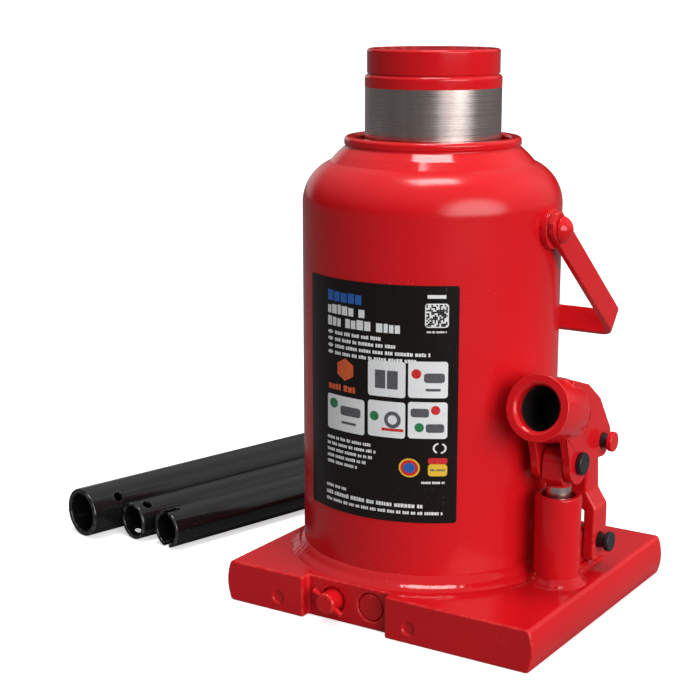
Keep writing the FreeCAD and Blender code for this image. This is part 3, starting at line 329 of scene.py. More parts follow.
def wire_dust(board: Board, given: bpy.types.Node, result: bpy.types.Node) -> None:
    """Fill the group for scattered pale specks of workshop dust.

    Args:
        board: the group's board.
        given: node that holds the group's inputs.
        result: node that takes the group's outputs.
    """
    specks = board.cloud(given.outputs["Place"], 900.0, 2.0)
    patches = board.cloud(given.outputs["Place"], 40.0, 2.0)
    spots = board.spread(specks, 0.68, 0.78, 0.0, 1.0)
    board.feed(result, Mask=board.math("MULTIPLY", spots, board.spread(patches, 0.45, 0.75, 0.0, 1.0)))


EFFECTS = {
    "orange_peel": ({"Place": "Vector", "Peel": "Float"}, {"Height": "Float", "Haze": "Float"},
                    wire_orange_peel),
    "tone_drift": ({"Place": "Vector", "Main": "Color", "Second": "Color"}, {"Colour": "Color"},
                   wire_tone_drift),
    "tool_marks": ({"Place": "Vector"}, {"Height": "Float", "Tone": "Float"}, wire_tool_marks),
    "edge_highlight_mask": ({"Place": "Vector", "Edge": "Float"}, {"Mask": "Float"}, wire_edge_highlight),
    "dust": ({"Place": "Vector"}, {"Mask": "Float"}, wire_dust),
}


def effect(board: Board, name: str, **inputs: object) -> bpy.types.Node:
    """Place one shared effect in a material.

    Args:
        board: the material's board.
        name: name of the effect.
        inputs: what feeds the group's inputs.

    Returns:
        The group node.
    """
    node = board.add("ShaderNodeGroup", node_tree=shared_effect(name, *EFFECTS[name]))
    return board.feed(node, **inputs)


@dataclass(frozen=True)
class Finish:
    """Base of all finishes: a named material with one Principled shader.

    Fields:
        name: name of the material.
        colour: main colour, linear.
        second: colour that the main one drifts to.
        smooth: roughness where the surface is cleanest.
        rough: roughness where it is dullest.
    """

    name: str
    colour: Colour
    second: Colour
    smooth: float = 0.1
    rough: float = 0.2

    def material(self) -> bpy.types.Material:
        """Build the material the first time it is asked for.

        Returns:
            The material.
        """
        made = bpy.data.materials.get(self.name)
        if made is None:
            made = bpy.data.materials.new(self.name)
            made.use_nodes = True
            board = Board(made.node_tree)
            shader = made.node_tree.nodes["Principled BSDF"]
            place = board.add("ShaderNodeTexCoord").outputs["Object"]
            self.wire(board, shader, place)
        return made

    def wire(self, board: Board, shader: bpy.types.Node, place: bpy.types.NodeSocket) -> None:
        """Link the finish's nodes to its shader."""
        raise NotImplementedError

    def tone(self, board: Board, place: bpy.types.NodeSocket) -> bpy.types.NodeSocket:
        """Drift between the two colours.

        Args:
            board: the material's board.
            place: coordinates of the drift.

        Returns:
            The colour's socket.
        """
        drift = effect(board, "tone_drift", Place=place, Main=(*self.colour, 1.0),
                       Second=(*self.second, 1.0))
        return drift.outputs["Colour"]

    def raised(self, board: Board, shader: bpy.types.Node, height: bpy.types.NodeSocket,
               distance: float, strength: float = 1.0) -> None:
        """Bump the shader's normal by a height.

        Args:
            board: the material's board.
            shader: the shader to feed.
            height: varying height from 0 to 1.
            distance: depth in metres of a full step.
            strength: share of the bump that shows.
        """
        bump = board.feed(board.add("ShaderNodeBump"), Height=height, Distance=distance, Strength=strength)
        board.feed(shader, Normal=bump.outputs["Normal"])


@dataclass(frozen=True)
class Enamel(Finish):
    """Sprayed gloss enamel, with an orange peel and a painted highlight along its rounded edges.

    Fields:
        peel: share of the fine peel in the surface's waviness.
        wave: depth of the waviness in metres.
        rubbed: lighter colour painted along rounded edges, a painted highlight.
        sheen: level of the coat's reflection.
        marks: scale of saw or drawing lines along the three axes, or None for a plain coat.
        mark_depth: depth of those lines in metres.
    """

    peel: float = 0.25
    wave: float = 0.05 * MM
    # Lighter red along rounded edges: a painted highlight.
    rubbed: Colour = (0.64, 0.03, 0.028)
    sheen: float = 0.32
    marks: Colour | None = None
    mark_depth: float = 0.03 * MM

    def wire(self, board: Board, shader: bpy.types.Node, place: bpy.types.NodeSocket) -> None:
        """Link peel, tone, the painted edge highlight and dust to the shader.

        Args:
            board: the material's board.
            shader: the Principled shader.
            place: coordinates on the object.
        """
        skin = effect(board, "orange_peel", Place=place, Peel=self.peel)
        # The rounded edges are lightened here as a painted highlight.
        edge = board.add("ShaderNodeAttribute", attribute_name="painted_edge_highlight").outputs["Fac"]
        highlight_share = effect(board, "edge_highlight_mask", Place=place, Edge=edge).outputs["Mask"]
        dust = effect(board, "dust", Place=place).outputs["Mask"]
        edge_lit_colour = board.blend(highlight_share, self.tone(board, place), self.rubbed)
        faint = board.spread(dust, 0.0, 1.0, 0.0, 0.25)
        board.feed(shader, Base_Color=board.blend(faint, edge_lit_colour, DUST_ON_PAINT))
        haze = board.spread(skin.outputs["Haze"], 0.3, 0.75, self.smooth, self.rough)
        board.feed(shader, Roughness=board.math("ADD", haze, board.math("MULTIPLY", dust, 0.2)))
        shader.inputs["Specular IOR Level"].default_value = self.sheen
        height = skin.outputs["Height"]
        if self.marks is not None:
            lines = effect(board, "tool_marks", Place=board.stretched(place, self.marks))
            share = self.mark_depth / self.wave
            height = board.math("ADD", height, board.math("MULTIPLY", lines.outputs["Height"], share))
        self.raised(board, shader, height, self.wave)


@dataclass(frozen=True)
class Metal(Finish):
    """Bare metal with tool marks along one direction.

    Fields:
        marks: scale of the marks along the three axes.
        mark_depth: depth of the marks in metres.
        streak: share by which the marks darken the colour.
        blotch: stretch of the colour's drift along the three axes.
        metallic: how metallic the shader is.
    """

    marks: Colour = (20.0, 20.0, 5200.0)
    mark_depth: float = 0.0025 * MM
    streak: float = 0.25
    blotch: Colour = (1.0, 1.0, 1.0)
    metallic: float = 1.0

    def wire(self, board: Board, shader: bpy.types.Node, place: bpy.types.NodeSocket) -> None:
        """Link marks and tone to the shader.

        Args:
            board: the material's board.
            shader: the Principled shader.
            place: coordinates on the object.
        """
        lines = effect(board, "tool_marks", Place=board.stretched(place, self.marks))
        tone = lines.outputs["Tone"]
        drift = self.tone(board, board.stretched(place, self.blotch))
        darker = tuple(part * 0.6 for part in self.colour)
        streak = board.math("MULTIPLY", tone, self.streak)
        board.feed(shader, Base_Color=board.blend(streak, drift, darker))
        board.feed(shader, Roughness=board.spread(tone, 0.0, 1.0, self.smooth, self.rough))
        shader.inputs["Metallic"].default_value = self.metallic
        self.raised(board, shader, lines.outputs["Height"], self.mark_depth)


@dataclass(frozen=True)
class Moulded(Finish):
    """Rubber, nylon or printed film with a fine grain.

    Fields:
        grain: scale of the grain.
        grain_depth: depth of the grain in metres.
        sheen: level of the surface's own reflection.
    """

    grain: float = 700.0
    grain_depth: float = 0.02 * MM
    sheen: float = 0.5

    def wire(self, board: Board, shader: bpy.types.Node, place: bpy.types.NodeSocket) -> None:
        """Link grain, tone and dust to the shader.

        Args:
            board: the material's board.
            shader: the Principled shader.
            place: coordinates on the object.
        """
        grain = board.cloud(place, self.grain, 3.0)
        dust = board.spread(effect(board, "dust", Place=place).outputs["Mask"], 0.0, 1.0, 0.0, 0.15)
        board.feed(shader, Base_Color=board.blend(dust, self.tone(board, place), DUST_ON_RUBBER))
        board.feed(shader, Roughness=board.spread(grain, 0.3, 0.7, self.smooth, self.rough))
        shader.inputs["Specular IOR Level"].default_value = self.sheen
        self.raised(board, shader, grain, self.grain_depth)


@dataclass(frozen=True)
class PrintInk(Moulded):
    """Thin even ink or film, with hardly any grain and its own gloss.

    Fields:
        smooth: roughness where the print is cleanest.
        rough: roughness where it is dullest.
        grain_depth: depth of the grain in metres.
    """

    smooth: float = 0.25
    rough: float = 0.35
    grain_depth: float = 0.004 * MM


JACK_RED = (0.62, 0.0075, 0.012)
DEEP_RED = (0.56, 0.006, 0.010)
RED = Enamel("red_enamel", JACK_RED, DEEP_RED, 0.06, 0.13)
CASING_RED = Enamel("red_enamel_on_casing", JACK_RED, DEEP_RED, 0.17, 0.25)
SAWN_RED = Enamel("red_enamel_over_saw_lines", (0.60, 0.0075, 0.012), (0.53, 0.006, 0.010), 0.16, 0.26,
                  marks=(60.0, 60.0, 1500.0))
CAST_RED = Enamel("red_enamel_over_casting", JACK_RED, (0.55, 0.006, 0.010), 0.10, 0.2,
                  peel=0.8, wave=0.09 * MM)
WELD_RED = Enamel("red_enamel_over_weld", JACK_RED, (0.50, 0.006, 0.010), 0.05, 0.11,
                  peel=0.7, wave=0.12 * MM)
# The grey along the tubes' rounded edges is a painted highlight.
TUBE_BLACK = Enamel("black_enamel_on_tube", (0.0045, 0.0045, 0.005), (0.008, 0.008, 0.0085), 0.10, 0.2,
                    rubbed=(0.09, 0.088, 0.086), marks=(500.0, 120.0, 500.0), mark_depth=0.012 * MM,
                    sheen=0.45)
RAM_STEEL = Metal("ground_ram_steel", (0.70, 0.61, 0.58), (0.34, 0.27, 0.25), 0.2, 0.32,
                  marks=(14.0, 14.0, 6500.0), mark_depth=0.0018 * MM, streak=0.2, blotch=(4.0, 4.0, 0.7))
PIN_OXIDE = Metal("blackened_pin_steel", (0.035, 0.037, 0.042), (0.022, 0.023, 0.027), 0.3, 0.45,
                  marks=(900.0, 900.0, 900.0), metallic=0.55)
# Near-black bare steel deep in the handle socket: painted shade of the bore.
BORE_SHADE = Metal("bore_steel_painted_shade", (0.030, 0.026, 0.025), (0.018, 0.016, 0.016), 0.4, 0.55, metallic=0.3)
TURNED_STEEL = Metal("turned_steel", (0.42, 0.41, 0.40), (0.34, 0.33, 0.32), 0.28, 0.42)
BALL_STEEL = Metal("bright_ball_steel", (0.62, 0.61, 0.60), (0.55, 0.54, 0.53), 0.08, 0.14,
                   marks=(300.0, 300.0, 300.0), mark_depth=0.001 * MM)
SPRING_STEEL = Metal("spring_steel", (0.33, 0.32, 0.31), (0.25, 0.24, 0.24), 0.25, 0.4,
                     marks=(900.0, 900.0, 900.0))
GAUZE = Metal("filter_gauze", (0.45, 0.43, 0.38), (0.35, 0.33, 0.29), 0.4, 0.6,
              marks=(3000.0, 3000.0, 50.0), mark_depth=0.06 * MM)
BRONZE = Metal("bearing_bronze", (0.52, 0.31, 0.13), (0.40, 0.22, 0.09), 0.3, 0.42)
RUBBER = Moulded("black_seal_rubber", (0.018, 0.018, 0.019), (0.028, 0.027, 0.027), 0.45, 0.65)
NYLON = Moulded("cream_nylon", (0.62, 0.58, 0.48), (0.55, 0.50, 0.40), 0.35, 0.5)


class Ink(Enum):
    """Inks of the label, each with its finish."""

    FILM = PrintInk("label_black_film", (0.0085, 0.0060, 0.0050), (0.011, 0.0082, 0.0072), 0.16, 0.26,
                    sheen=0.2)
    WHITE = PrintInk("label_white_ink", (0.78, 0.79, 0.80), (0.70, 0.71, 0.72))
    GREY = PrintInk("label_grey_ink", (0.10, 0.10, 0.11), (0.07, 0.07, 0.08))
    BLUE = PrintInk("label_blue_ink", (0.018, 0.12, 0.46), (0.014, 0.10, 0.40))
    ORANGE = PrintInk("label_orange_ink", (0.72, 0.11, 0.025), (0.64, 0.09, 0.02))
    GREEN = PrintInk("label_green_ink", (0.02, 0.20, 0.07), (0.015, 0.16, 0.055))
    SCARLET = PrintInk("label_scarlet_ink", (0.60, 0.02, 0.02), (0.52, 0.015, 0.015))
    YELLOW = PrintInk("label_yellow_ink", (0.80, 0.50, 0.04), (0.72, 0.44, 0.03))


SLOT_FINISH = {
    Slot.RED_PAINT: RED, Slot.POLISHED: RAM_STEEL, Slot.MACHINED: TURNED_STEEL, Slot.BRONZE: BRONZE,
    Slot.RUBBER: RUBBER, Slot.NYLON: NYLON, Slot.BALL: BALL_STEEL, Slot.SPRING: SPRING_STEEL,
    Slot.FILTER: GAUZE, Slot.OXIDE: PIN_OXIDE, Slot.LABEL: Ink.FILM.value, Slot.BLACK: TUBE_BLACK,
}


# ---------------------------------------------------------------------------------------------
# Shaping
# ---------------------------------------------------------------------------------------------


@dataclass(frozen=True)
class Extent:
    """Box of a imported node, in metres.

    Fields:
        low: its lowest corner.
        high: its highest corner.
    """

    low: Vector
    high: Vector

    @classmethod
    def of(cls, node: str) -> "Extent":
        """Box of the named node."""
        return cls(*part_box(node))

    @property
    def centre(self) -> Vector:
        """Middle of the box."""
        return (self.low + self.high) / 2

    @property
    def size(self) -> Vector:
        """Length of the box along each axis."""
        return self.high - self.low

    @property
    def radius(self) -> float:
        """Radius of an upright round node."""
        return self.size.x / 2


def rounded(points: Sequence[Point], radii: dict[int, float], segments: int = 6) -> list[Point]:
    """Replace corners of an outline by arcs.

    Args:
        points: corners of the outline.
        radii: arc radius of each numbered corner.
        segments: straight pieces in one arc.

    Returns:
        The outline with its arcs.
    """
    outline = []
    for number, point in enumerate(points):
        corner = Vector(point)
        if number not in radii:
            outline.append(tuple(corner))
            continue
        before = (Vector(points[number - 1]) - corner).normalized()
        after = (Vector(points[(number + 1) % len(points)]) - corner).normalized()
        half = before.angle(after) / 2
        centre = corner + (before + after).normalized() * radii[number] / math.sin(half)
        reach = radii[number] / math.tan(half)
        start, end = corner + before * reach - centre, corner + after * reach - centre
        sweep = math.copysign(math.pi - 2 * half, start.cross(end))
        for step in range(segments + 1):
            outline.append(tuple(centre + Matrix.Rotation(sweep * step / segments, 2) @ start))
    return outline


def arc(centre: Point, radius: float, first: float, last: float, segments: int) -> list[Point]:
    """Points along an arc.

    Args:
        centre: middle of the arc.
        radius: its radius.
        first: start angle in radians.
        last: end angle in radians.
        segments: straight pieces in the arc.

    Returns:
        The points, both ends included.
    """
    turns = [first + (last - first) * step / segments for step in range(segments + 1)]
    return [(centre[0] + radius * math.cos(turn), centre[1] + radius * math.sin(turn)) for turn in turns]


def turned(outline: Sequence[Point], steps: int = 128) -> bmesh.types.BMesh:
    """Spin an outline round the Z axis.

    Args:
        outline: radius and height of each point; it is closed unless both ends lie on the axis.
        steps: faces round the axis.

    Returns:
        The closed turned shape.
    """
    shape = bmesh.new()
    verts = [shape.verts.new((radius, 0.0, height)) for radius, height in outline]
    on_axis = outline[0][0] < MERGE and outline[-1][0] < MERGE
    following = verts[1:] if on_axis else verts[1:] + verts[:1]
    edges = [shape.edges.new(pair) for pair in zip(verts, following)]
    bmesh.ops.spin(shape, geom=verts + edges, cent=(0, 0, 0), axis=(0, 0, 1), dvec=(0, 0, 0),
                   angle=math.tau, steps=steps, use_merge=True, use_duplicate=False)
    bmesh.ops.remove_doubles(shape, verts=shape.verts, dist=MERGE)
    bmesh.ops.recalc_face_normals(shape, faces=shape.faces)
    return shape


def soften(shape: bmesh.types.BMesh, width: float, segments: int) -> None:
    """Round the sharp edges of a shape and mark what was rounded for the painted edge highlight.

    Args:
        shape: the closed shape.
        width: width of the rounding.
        segments: faces across the rounding.
    """
    sharp = [edge for edge in shape.edges if edge.is_manifold and edge.calc_face_angle(0.0) > SHARP]
    made = bmesh.ops.bevel(shape, geom=sharp, offset=width, offset_type="OFFSET", segments=segments,
                           affect="EDGES", profile=0.5, material=-1, clamp_overlap=False)
    # Rounded faces are marked for the painted edge highlight.
    layer = shape.verts.layers.float.get("painted_edge_highlight") or shape.verts.layers.float.new("painted_edge_highlight")
    rounding = set(made["faces"])
    for vert in {vert for face in rounding for vert in face.verts}:
        vert[layer] = float(rounding.issuperset(vert.link_faces))


def slice_at(shape: bmesh.types.BMesh, place: Sequence[float], normal: Sequence[float]) -> None:
    """Divide the faces of a shape along a plane through a place."""
    bmesh.ops.bisect_plane(shape, geom=[*shape.verts, *shape.edges, *shape.faces],
                           plane_co=place, plane_no=normal)


def softened_copy(node: str, width: float, segments: int = 3,
                  cuts: Iterable[tuple[Axis, float]] = ()) -> bmesh.types.BMesh:
    """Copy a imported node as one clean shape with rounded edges.

    Args:
        node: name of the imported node.
        width: width of the rounding.
        segments: faces across the rounding.
        cuts: planes, as axis and place, along which faces are divided for two finishes.

    Returns:
        The merged, cleaned and rounded shape.
    """
    shape = bmesh.new()
    shape.from_mesh(frame["nodes"][node].data)
    bmesh.ops.remove_doubles(shape, verts=shape.verts, dist=MERGE)
    bmesh.ops.dissolve_limit(shape, angle_limit=FLAT, verts=shape.verts, edges=shape.edges)
    soften(shape, width, segments)
    for axis, place in cuts:
        normal = [0.0, 0.0, 0.0]
        normal[axis.value] = 1.0
        slice_at(shape, Vector(normal) * place, normal)
    return shape


def paint_beyond(shape: bmesh.types.BMesh, axis: Axis, place: float) -> None:
    """Give the second finish to the faces whose middle lies beyond a place along an axis.

    Args:
        shape: the shape.
        axis: axis to look along.
        place: where the second finish begins.
    """
    for face in shape.faces:
        if face.calc_center_median()[axis.value] > place:
            face.material_index = 1


@dataclass(frozen=True)
class Piece:
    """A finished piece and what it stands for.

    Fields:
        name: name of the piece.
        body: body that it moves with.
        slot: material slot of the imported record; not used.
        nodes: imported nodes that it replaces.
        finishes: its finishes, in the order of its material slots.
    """

    name: str
    body: Body
    slot: Slot
    nodes: tuple[str, ...]
    finishes: tuple[Finish, ...]

    def show(self, shape: bmesh.types.BMesh) -> bpy.types.Object:
        """Make the object of a shape, finish it and tie it to its body.

        Args:
            shape: the shape, which is freed.

        Returns:
            The object.
        """
        for face in shape.faces:
            face.smooth = True
        for edge in shape.edges:
            edge.smooth = not edge.is_manifold or edge.calc_face_angle(0.0) < SHARP
        mesh = bpy.data.meshes.new(self.name)
        shape.to_mesh(mesh)
        shape.free()
        piece = bpy.data.objects.new(self.name, mesh)
        bpy.context.scene.collection.objects.link(piece)
        for finish in self.finishes:
            mesh.materials.append(finish.material())
        weighted = piece.modifiers.new("face_weighted_normals", "WEIGHTED_NORMAL")
        weighted.keep_sharp = True
        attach(piece, self.body.value)
        if self.nodes:
            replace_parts(piece, *self.nodes)
        log.info("%s rides on %s with %d faces", self.name, self.body.value, len(mesh.polygons))
        return piece


def soften_node(node: str, name: str, body: Body, slot: Slot, finish: Finish, width: float,
                segments: int = 3) -> None:
    """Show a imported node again, with rounded edges and one finish.

    Args:
        node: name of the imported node.
        name: name of the piece.
        body: body that it moves with.
        slot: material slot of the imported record.
        finish: its finish.
        width: width of the rounding.
        segments: faces across the rounding.
    """
    Piece(name, body, slot, (node,), (finish,)).show(softened_copy(node, width, segments))


def dress(node: str, finish: Finish) -> None:
    """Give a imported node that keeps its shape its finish.

    Args:
        node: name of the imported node.
        finish: its finish.
    """
    slots = frame["nodes"][node].data.materials
    slots.clear()
    slots.append(finish.material())
    log.info("%s keeps its shape and takes %s", node, finish.name)


# ---------------------------------------------------------------------------------------------
# Assemblies
# ---------------------------------------------------------------------------------------------


@dataclass
class WeldBead:
    """Rippled fillet bead round an upright wall, painted over.

    Fields:
        name: name of the piece.
        node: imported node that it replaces.
        wall: radius of the wall that it runs round.
        leg: height and width of the bead.
        pitch: spacing of the ripples.
        ripple: share by which a ripple raises the bead.
        hollow: share by which its middle is flattened.
        wander: share by which the bead's size wanders.
        full: size of the bead against its leg.
        lean: turn by which a ripple leans back up the bead.
        stray: turn by which the ripples stray from an even beat.
        seed: where the wandering starts.
    """

    name: str
    node: str
    wall: float
    leg: float
    pitch: float = 4.2 * MM
    ripple: float = 0.05
    hollow: float = 0.36
    wander: float = 0.14
    full: float = 1.02
    lean: float = 1.2
    stray: float = 2.5
    seed: float = 0.0

    def build(self, centre: Vector, floor: float) -> bmesh.types.BMesh:
        """Spin the bead's section and raise its ripples.

        Args:
            centre: axis of the wall.
            floor: height of the plate.

        Returns:
            The bead.
        """
        toe = self.leg * 0.3
        section = [(self.wall - toe, floor - toe)]
        section += arc((self.wall, floor), self.leg, 0.0, math.pi / 2, 9)
        section += [(self.wall - toe, floor + self.leg)]
        ripples = round(math.tau * (self.wall + self.leg) / self.pitch)
        shape = turned(section, ripples * 6)
        for vert in shape.verts:
            radius = math.hypot(vert.co.x, vert.co.y)
            across, up = radius - self.wall, vert.co.z - floor
            if across < -MERGE or up < -MERGE:
                continue
            around = math.atan2(vert.co.y, vert.co.x)
            rise = math.atan2(up, max(across, MERGE))
            spot = Vector((math.cos(around), math.sin(around), self.seed))
            belly = math.sin(rise * 2)
            phase = around * ripples / 2 + self.lean * belly + self.stray * noise.noise(spot * 6.0)
            lively = max(0.0, 0.5 + 1.6 * noise.noise(spot * 1.3))
            crest = self.ripple * lively * abs(math.sin(phase)) * belly
            swell = self.full + crest + self.wander * noise.noise(spot * 3.1) * (0.4 + lively)
            flat = 1.0 - self.hollow * belly
            vert.co.x += math.cos(around) * across * (swell * flat - 1.0)
            vert.co.y += math.sin(around) * across * (swell * flat - 1.0)
            vert.co.z += up * (swell * flat - 1.0)
        bmesh.ops.translate(shape, verts=shape.verts, vec=(centre.x, centre.y, 0.0))
        return shape

    def dress(self, shape: bmesh.types.BMesh) -> None:
        """Show the bead on the jack's body."""
        Piece(self.name, Body.JACK, Slot.RED_PAINT, (self.node,), (WELD_RED,)).show(shape)


@dataclass
class Foundation:
    """Base plate, the painted balls in its gallery ends, the relief plug and the lug's weld.

    Fields:
        edge: rounding of the plate's edges.
        lug_edge: rounding of the weld block round the lug.
        plug_edge: rounding of the relief plug.
        dish: depth of the dimples in the plate's front.
        dish_slope: width of a dimple's sloping side.
        fill: depth to which a gallery's end is filled.
        slack: gap between the filling and the gallery, and its lap over the rim.
        proud: height of the paint round a dimple.
    """

    edge: float = 1.1 * MM
    lug_edge: float = 1.3 * MM
    plug_edge: float = 0.25 * MM
    dish: float = 1.0 * MM
    dish_slope: float = 0.9 * MM
    fill: float = 2.5 * MM
    slack: float = 0.1 * MM
    proud: float = 0.03 * MM

    def dimple(self, node: str) -> bmesh.types.BMesh:
        """Turn the paint-filled end of a gallery: a shallow dish in the plate's front.

        Args:
            node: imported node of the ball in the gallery.

        Returns:
            The dish.
        """
        box, front = Extent.of(node), Extent.of("base_plate").low.y
        radius = box.size.x / 2
        rim = radius + self.edge
        points = [
            (0.0, -self.fill), (radius - self.slack, -self.fill), (radius - self.slack, -self.edge),
            (rim + self.slack, self.proud), (radius, 0.0), (radius - self.dish_slope, -self.dish),
            (0.0, -self.dish),
        ]
        shape = turned(rounded(points, {4: 0.9 * MM, 5: 1.4 * MM}, 5), 48)
        bmesh.ops.rotate(shape, verts=shape.verts, cent=(0, 0, 0),
                         matrix=Matrix.Rotation(math.pi / 2, 3, "X"))
        bmesh.ops.translate(shape, verts=shape.verts, vec=(box.centre.x, front, box.centre.z))
        return shape

    def build(self) -> None:
        """Shape and dress the plate and what is pressed into its front."""
        plate = softened_copy("base_plate", self.edge, 4)
        for face in plate.faces:
            if abs(face.normal.y) > SQUARE_ON:
                face.material_index = 1
        Piece("base_plate_coated", Body.JACK, Slot.RED_PAINT, ("base_plate",), (RED, SAWN_RED)).show(plate)
        soften_node("relief_plug", "relief_plug_coated", Body.JACK, Slot.RED_PAINT, SAWN_RED,
                    self.plug_edge, 2)
        for side in ("left", "right"):
            node = f"{side}_gallery_ball"
            filling = Piece(f"{node}_painted_over", Body.JACK, Slot.BALL, (node,), (SAWN_RED,))
            filling.show(self.dimple(node))
        soften_node("lug_weld", "lug_weld_bead", Body.JACK, Slot.RED_PAINT, WELD_RED, self.lug_edge, 4)


@dataclass
class Reservoir:
    """Casing with its spun shoulder, the collar round the ram, the filler plug and the foot weld.

    Fields:
        wall: thickness of the casing.
        steep: rise of the shoulder beyond its width.
        overlap: collar foot beyond the mouth of the shoulder.
        flare: foot of the collar cone beyond its neck.
        cone: height of the cone.
        lip: height of the rolled lip.
        lip_out: lip beyond the neck.
        lip_web: thickness of the wall under the lip.
        seal_lap: lip's bore beyond the wiper seal.
        foot_drop: depth to which the cone's foot reaches down the shoulder, inside it.
        foot_edge: the same at its outer edge.
        slack: gap between the collar and the cylinder.
        plug_edge: rounding of the filler plug.
        bead_lap: weld beyond its packed size.
    """

    wall: float = 3.0 * MM
    steep: float = 5.6 * MM
    overlap: float = 2.4 * MM
    flare: float = 8.6 * MM
    cone: float = 7.0 * MM
    lip: float = 3.9 * MM
    lip_out: float = 1.0 * MM
    lip_web: float = 2.0 * MM
    seal_lap: float = 1.8 * MM
    foot_drop: float = 0.6 * MM
    foot_edge: float = 1.6 * MM
    slack: float = 0.1 * MM
    plug_edge: float = 0.6 * MM
    bead_lap: float = 0.3 * MM

    def casing(self) -> bmesh.types.BMesh:
        """Turn the casing: a straight wall and a shoulder on one arc.

        Returns:
            The casing.
        """
        box = Extent.of("reservoir_casing")
        mouth = Extent.of("neck_collar").radius - self.overlap
        width = box.radius - mouth
        rise = width + self.steep
        start = box.high.z - rise
        bend = (width ** 2 + rise ** 2) / (2 * width)
        inner = bend - self.wall
        centre = (box.radius - bend, start)
        outline = [(box.radius, box.low.z)]
        outline += arc(centre, bend, 0.0, math.asin(rise / bend), 28)
        outline += arc(centre, inner, math.acos((mouth - box.radius + bend) / inner), 0.0, 20)
        outline += [(box.radius - self.wall, box.low.z)]
        return turned(outline, 224)

    def collar(self) -> bmesh.types.BMesh:
        """Turn the collar: a hollow cone that runs out on the shoulder, and a rolled lip.

        Returns:
            The collar.
        """
        box = Extent.of("neck_collar")
        floor = Extent.of("reservoir_casing").high.z
        skirt = Extent.of("hydraulic_cylinder").radius + self.slack
        neck = box.radius - self.flare
        bore = Extent.of("wiper_seal").radius + self.seal_lap
        under, top = floor + self.cone, floor + self.cone + self.lip
        points = [
            (skirt, box.low.z), (box.radius - self.overlap, box.low.z),
            (box.radius - self.overlap, floor - self.foot_drop), (box.radius, floor - self.foot_edge),
            (box.radius - 0.5 * self.flare, floor + 0.45 * self.cone), (neck, under),
            (neck + self.lip_out, under + 0.5 * MM), (neck + self.lip_out, top), (bore, top),
            (bore, under - self.lip_web), (skirt, under - self.lip_web),
        ]
        bends = {3: 0.2 * MM, 4: 9.0 * MM, 5: 0.8 * MM, 6: 0.4 * MM, 7: self.lip * 0.42, 8: self.lip * 0.4}
        return turned(rounded(points, bends, 8), 192)

    def build(self) -> None:
        """Shape and dress the casing, its collar, its plug and the weld at its foot."""
        casing = Piece("casing_shell", Body.JACK, Slot.RED_PAINT, ("reservoir_casing",), (CASING_RED,))
        casing.show(self.casing())
        collar = Piece("collar_round_the_ram", Body.JACK, Slot.RED_PAINT, ("neck_collar",), (RED,))
        collar.show(self.collar())
        soften_node("filler_plug", "filler_plug_moulded", Body.JACK, Slot.RUBBER, RUBBER, self.plug_edge)
        box = Extent.of("reservoir_casing")
        leg = Extent.of("casing_weld").radius - box.radius + self.bead_lap
        bead = WeldBead("casing_foot_bead", "casing_weld", box.radius, leg, seed=0.7)
        bead.dress(bead.build(Vector((0.0, 0.0, 0.0)), box.low.z))


@dataclass
class Lift:
    """Ram with its painted top, and the saddle on it.

    Fields:
        painted: height of the coat at the top of the ram.
        coat: thickness of the coat.
        tail: step to the turned down foot.
        edge: rounding of the ram's top edge.
        saddle_edge: rounding of the saddle.
        undercut: dark line under the saddle.
        recess: radius of the hole in the ram's top.
        spigot: radius of the saddle's spigot.
        play: gap under the spigot.
        grooves: number of grip grooves.
        groove_pitch: spacing of the grip grooves.
        groove_width: width of a grip groove.
        groove_depth: depth of a grip groove.
        groove_edge: rounding of a groove's edges.
    """

    painted: float = 5.8 * MM
    coat: float = 0.07 * MM
    tail: float = 4.75 * MM
    edge: float = 1.7 * MM
    saddle_edge: float = 1.3 * MM
    undercut: float = 0.55 * MM
    recess: float = 14.1 * MM
    spigot: float = 14.0 * MM
    play: float = 0.5 * MM
    grooves: int = 4
    groove_pitch: float = 5.0 * MM
    groove_width: float = 2.0 * MM
    groove_depth: float = 0.8 * MM
    groove_edge: float = 0.2 * MM

    def ram(self) -> bmesh.types.BMesh:
        """Turn the ram, with a thin step where its coat begins.

        Returns:
            The ram, with the second finish on its coat.
        """
        box, piston = Extent.of("ram"), Extent.of("ram_piston")
        radius, top = box.radius, box.high.z
        floor = Extent.of("saddle").low.z - self.play
        line = top - self.painted
        points = [
            (0.0, box.low.z), (radius - self.tail, box.low.z), (radius - self.tail, piston.high.z),
            (radius, piston.high.z), (radius, line), (radius + self.coat, line + self.coat),
            (radius + self.coat, top), (self.recess, top), (self.recess, floor), (0.0, floor),
        ]
        shape = turned(rounded(points, {6: self.edge}), 160)
        paint_beyond(shape, Axis.Z, line)
        return shape

    def saddle(self) -> bmesh.types.BMesh:
        """Turn the saddle, with a spigot below and grip grooves on top.

        Returns:
            The saddle.
        """
        box, seat = Extent.of("saddle"), Extent.of("ram").high.z
        radius, top = box.radius, box.high.z
        points = [
            (0.0, box.low.z), (self.spigot, box.low.z), (self.spigot, seat),
            (radius - self.undercut, seat), (radius - self.undercut, seat + self.undercut),
            (radius, seat + self.undercut), (radius, top),
        ]
        bends = {5: self.groove_edge, 6: self.saddle_edge}
        for number in range(len(points), len(points) + 3 * self.grooves):
            bends[number] = self.groove_edge
        for step in range(1, self.grooves + 1):
            outer = radius - self.groove_pitch * step
            points += [(outer, top), (outer - self.groove_width / 2, top - self.groove_depth)]
            points += [(outer - self.groove_width, top)]
        points.append((0.0, top))
        return turned(rounded(points, bends, 4), 160)

    def build(self) -> None:
        """Shape and dress the ram and its saddle."""
        ram = Piece("ram_with_coated_top", Body.RAM, Slot.POLISHED, ("ram",), (RAM_STEEL, RED))
        ram.show(self.ram())
        Piece("saddle_grooved", Body.RAM, Slot.RED_PAINT, ("saddle",), (RED,)).show(self.saddle())


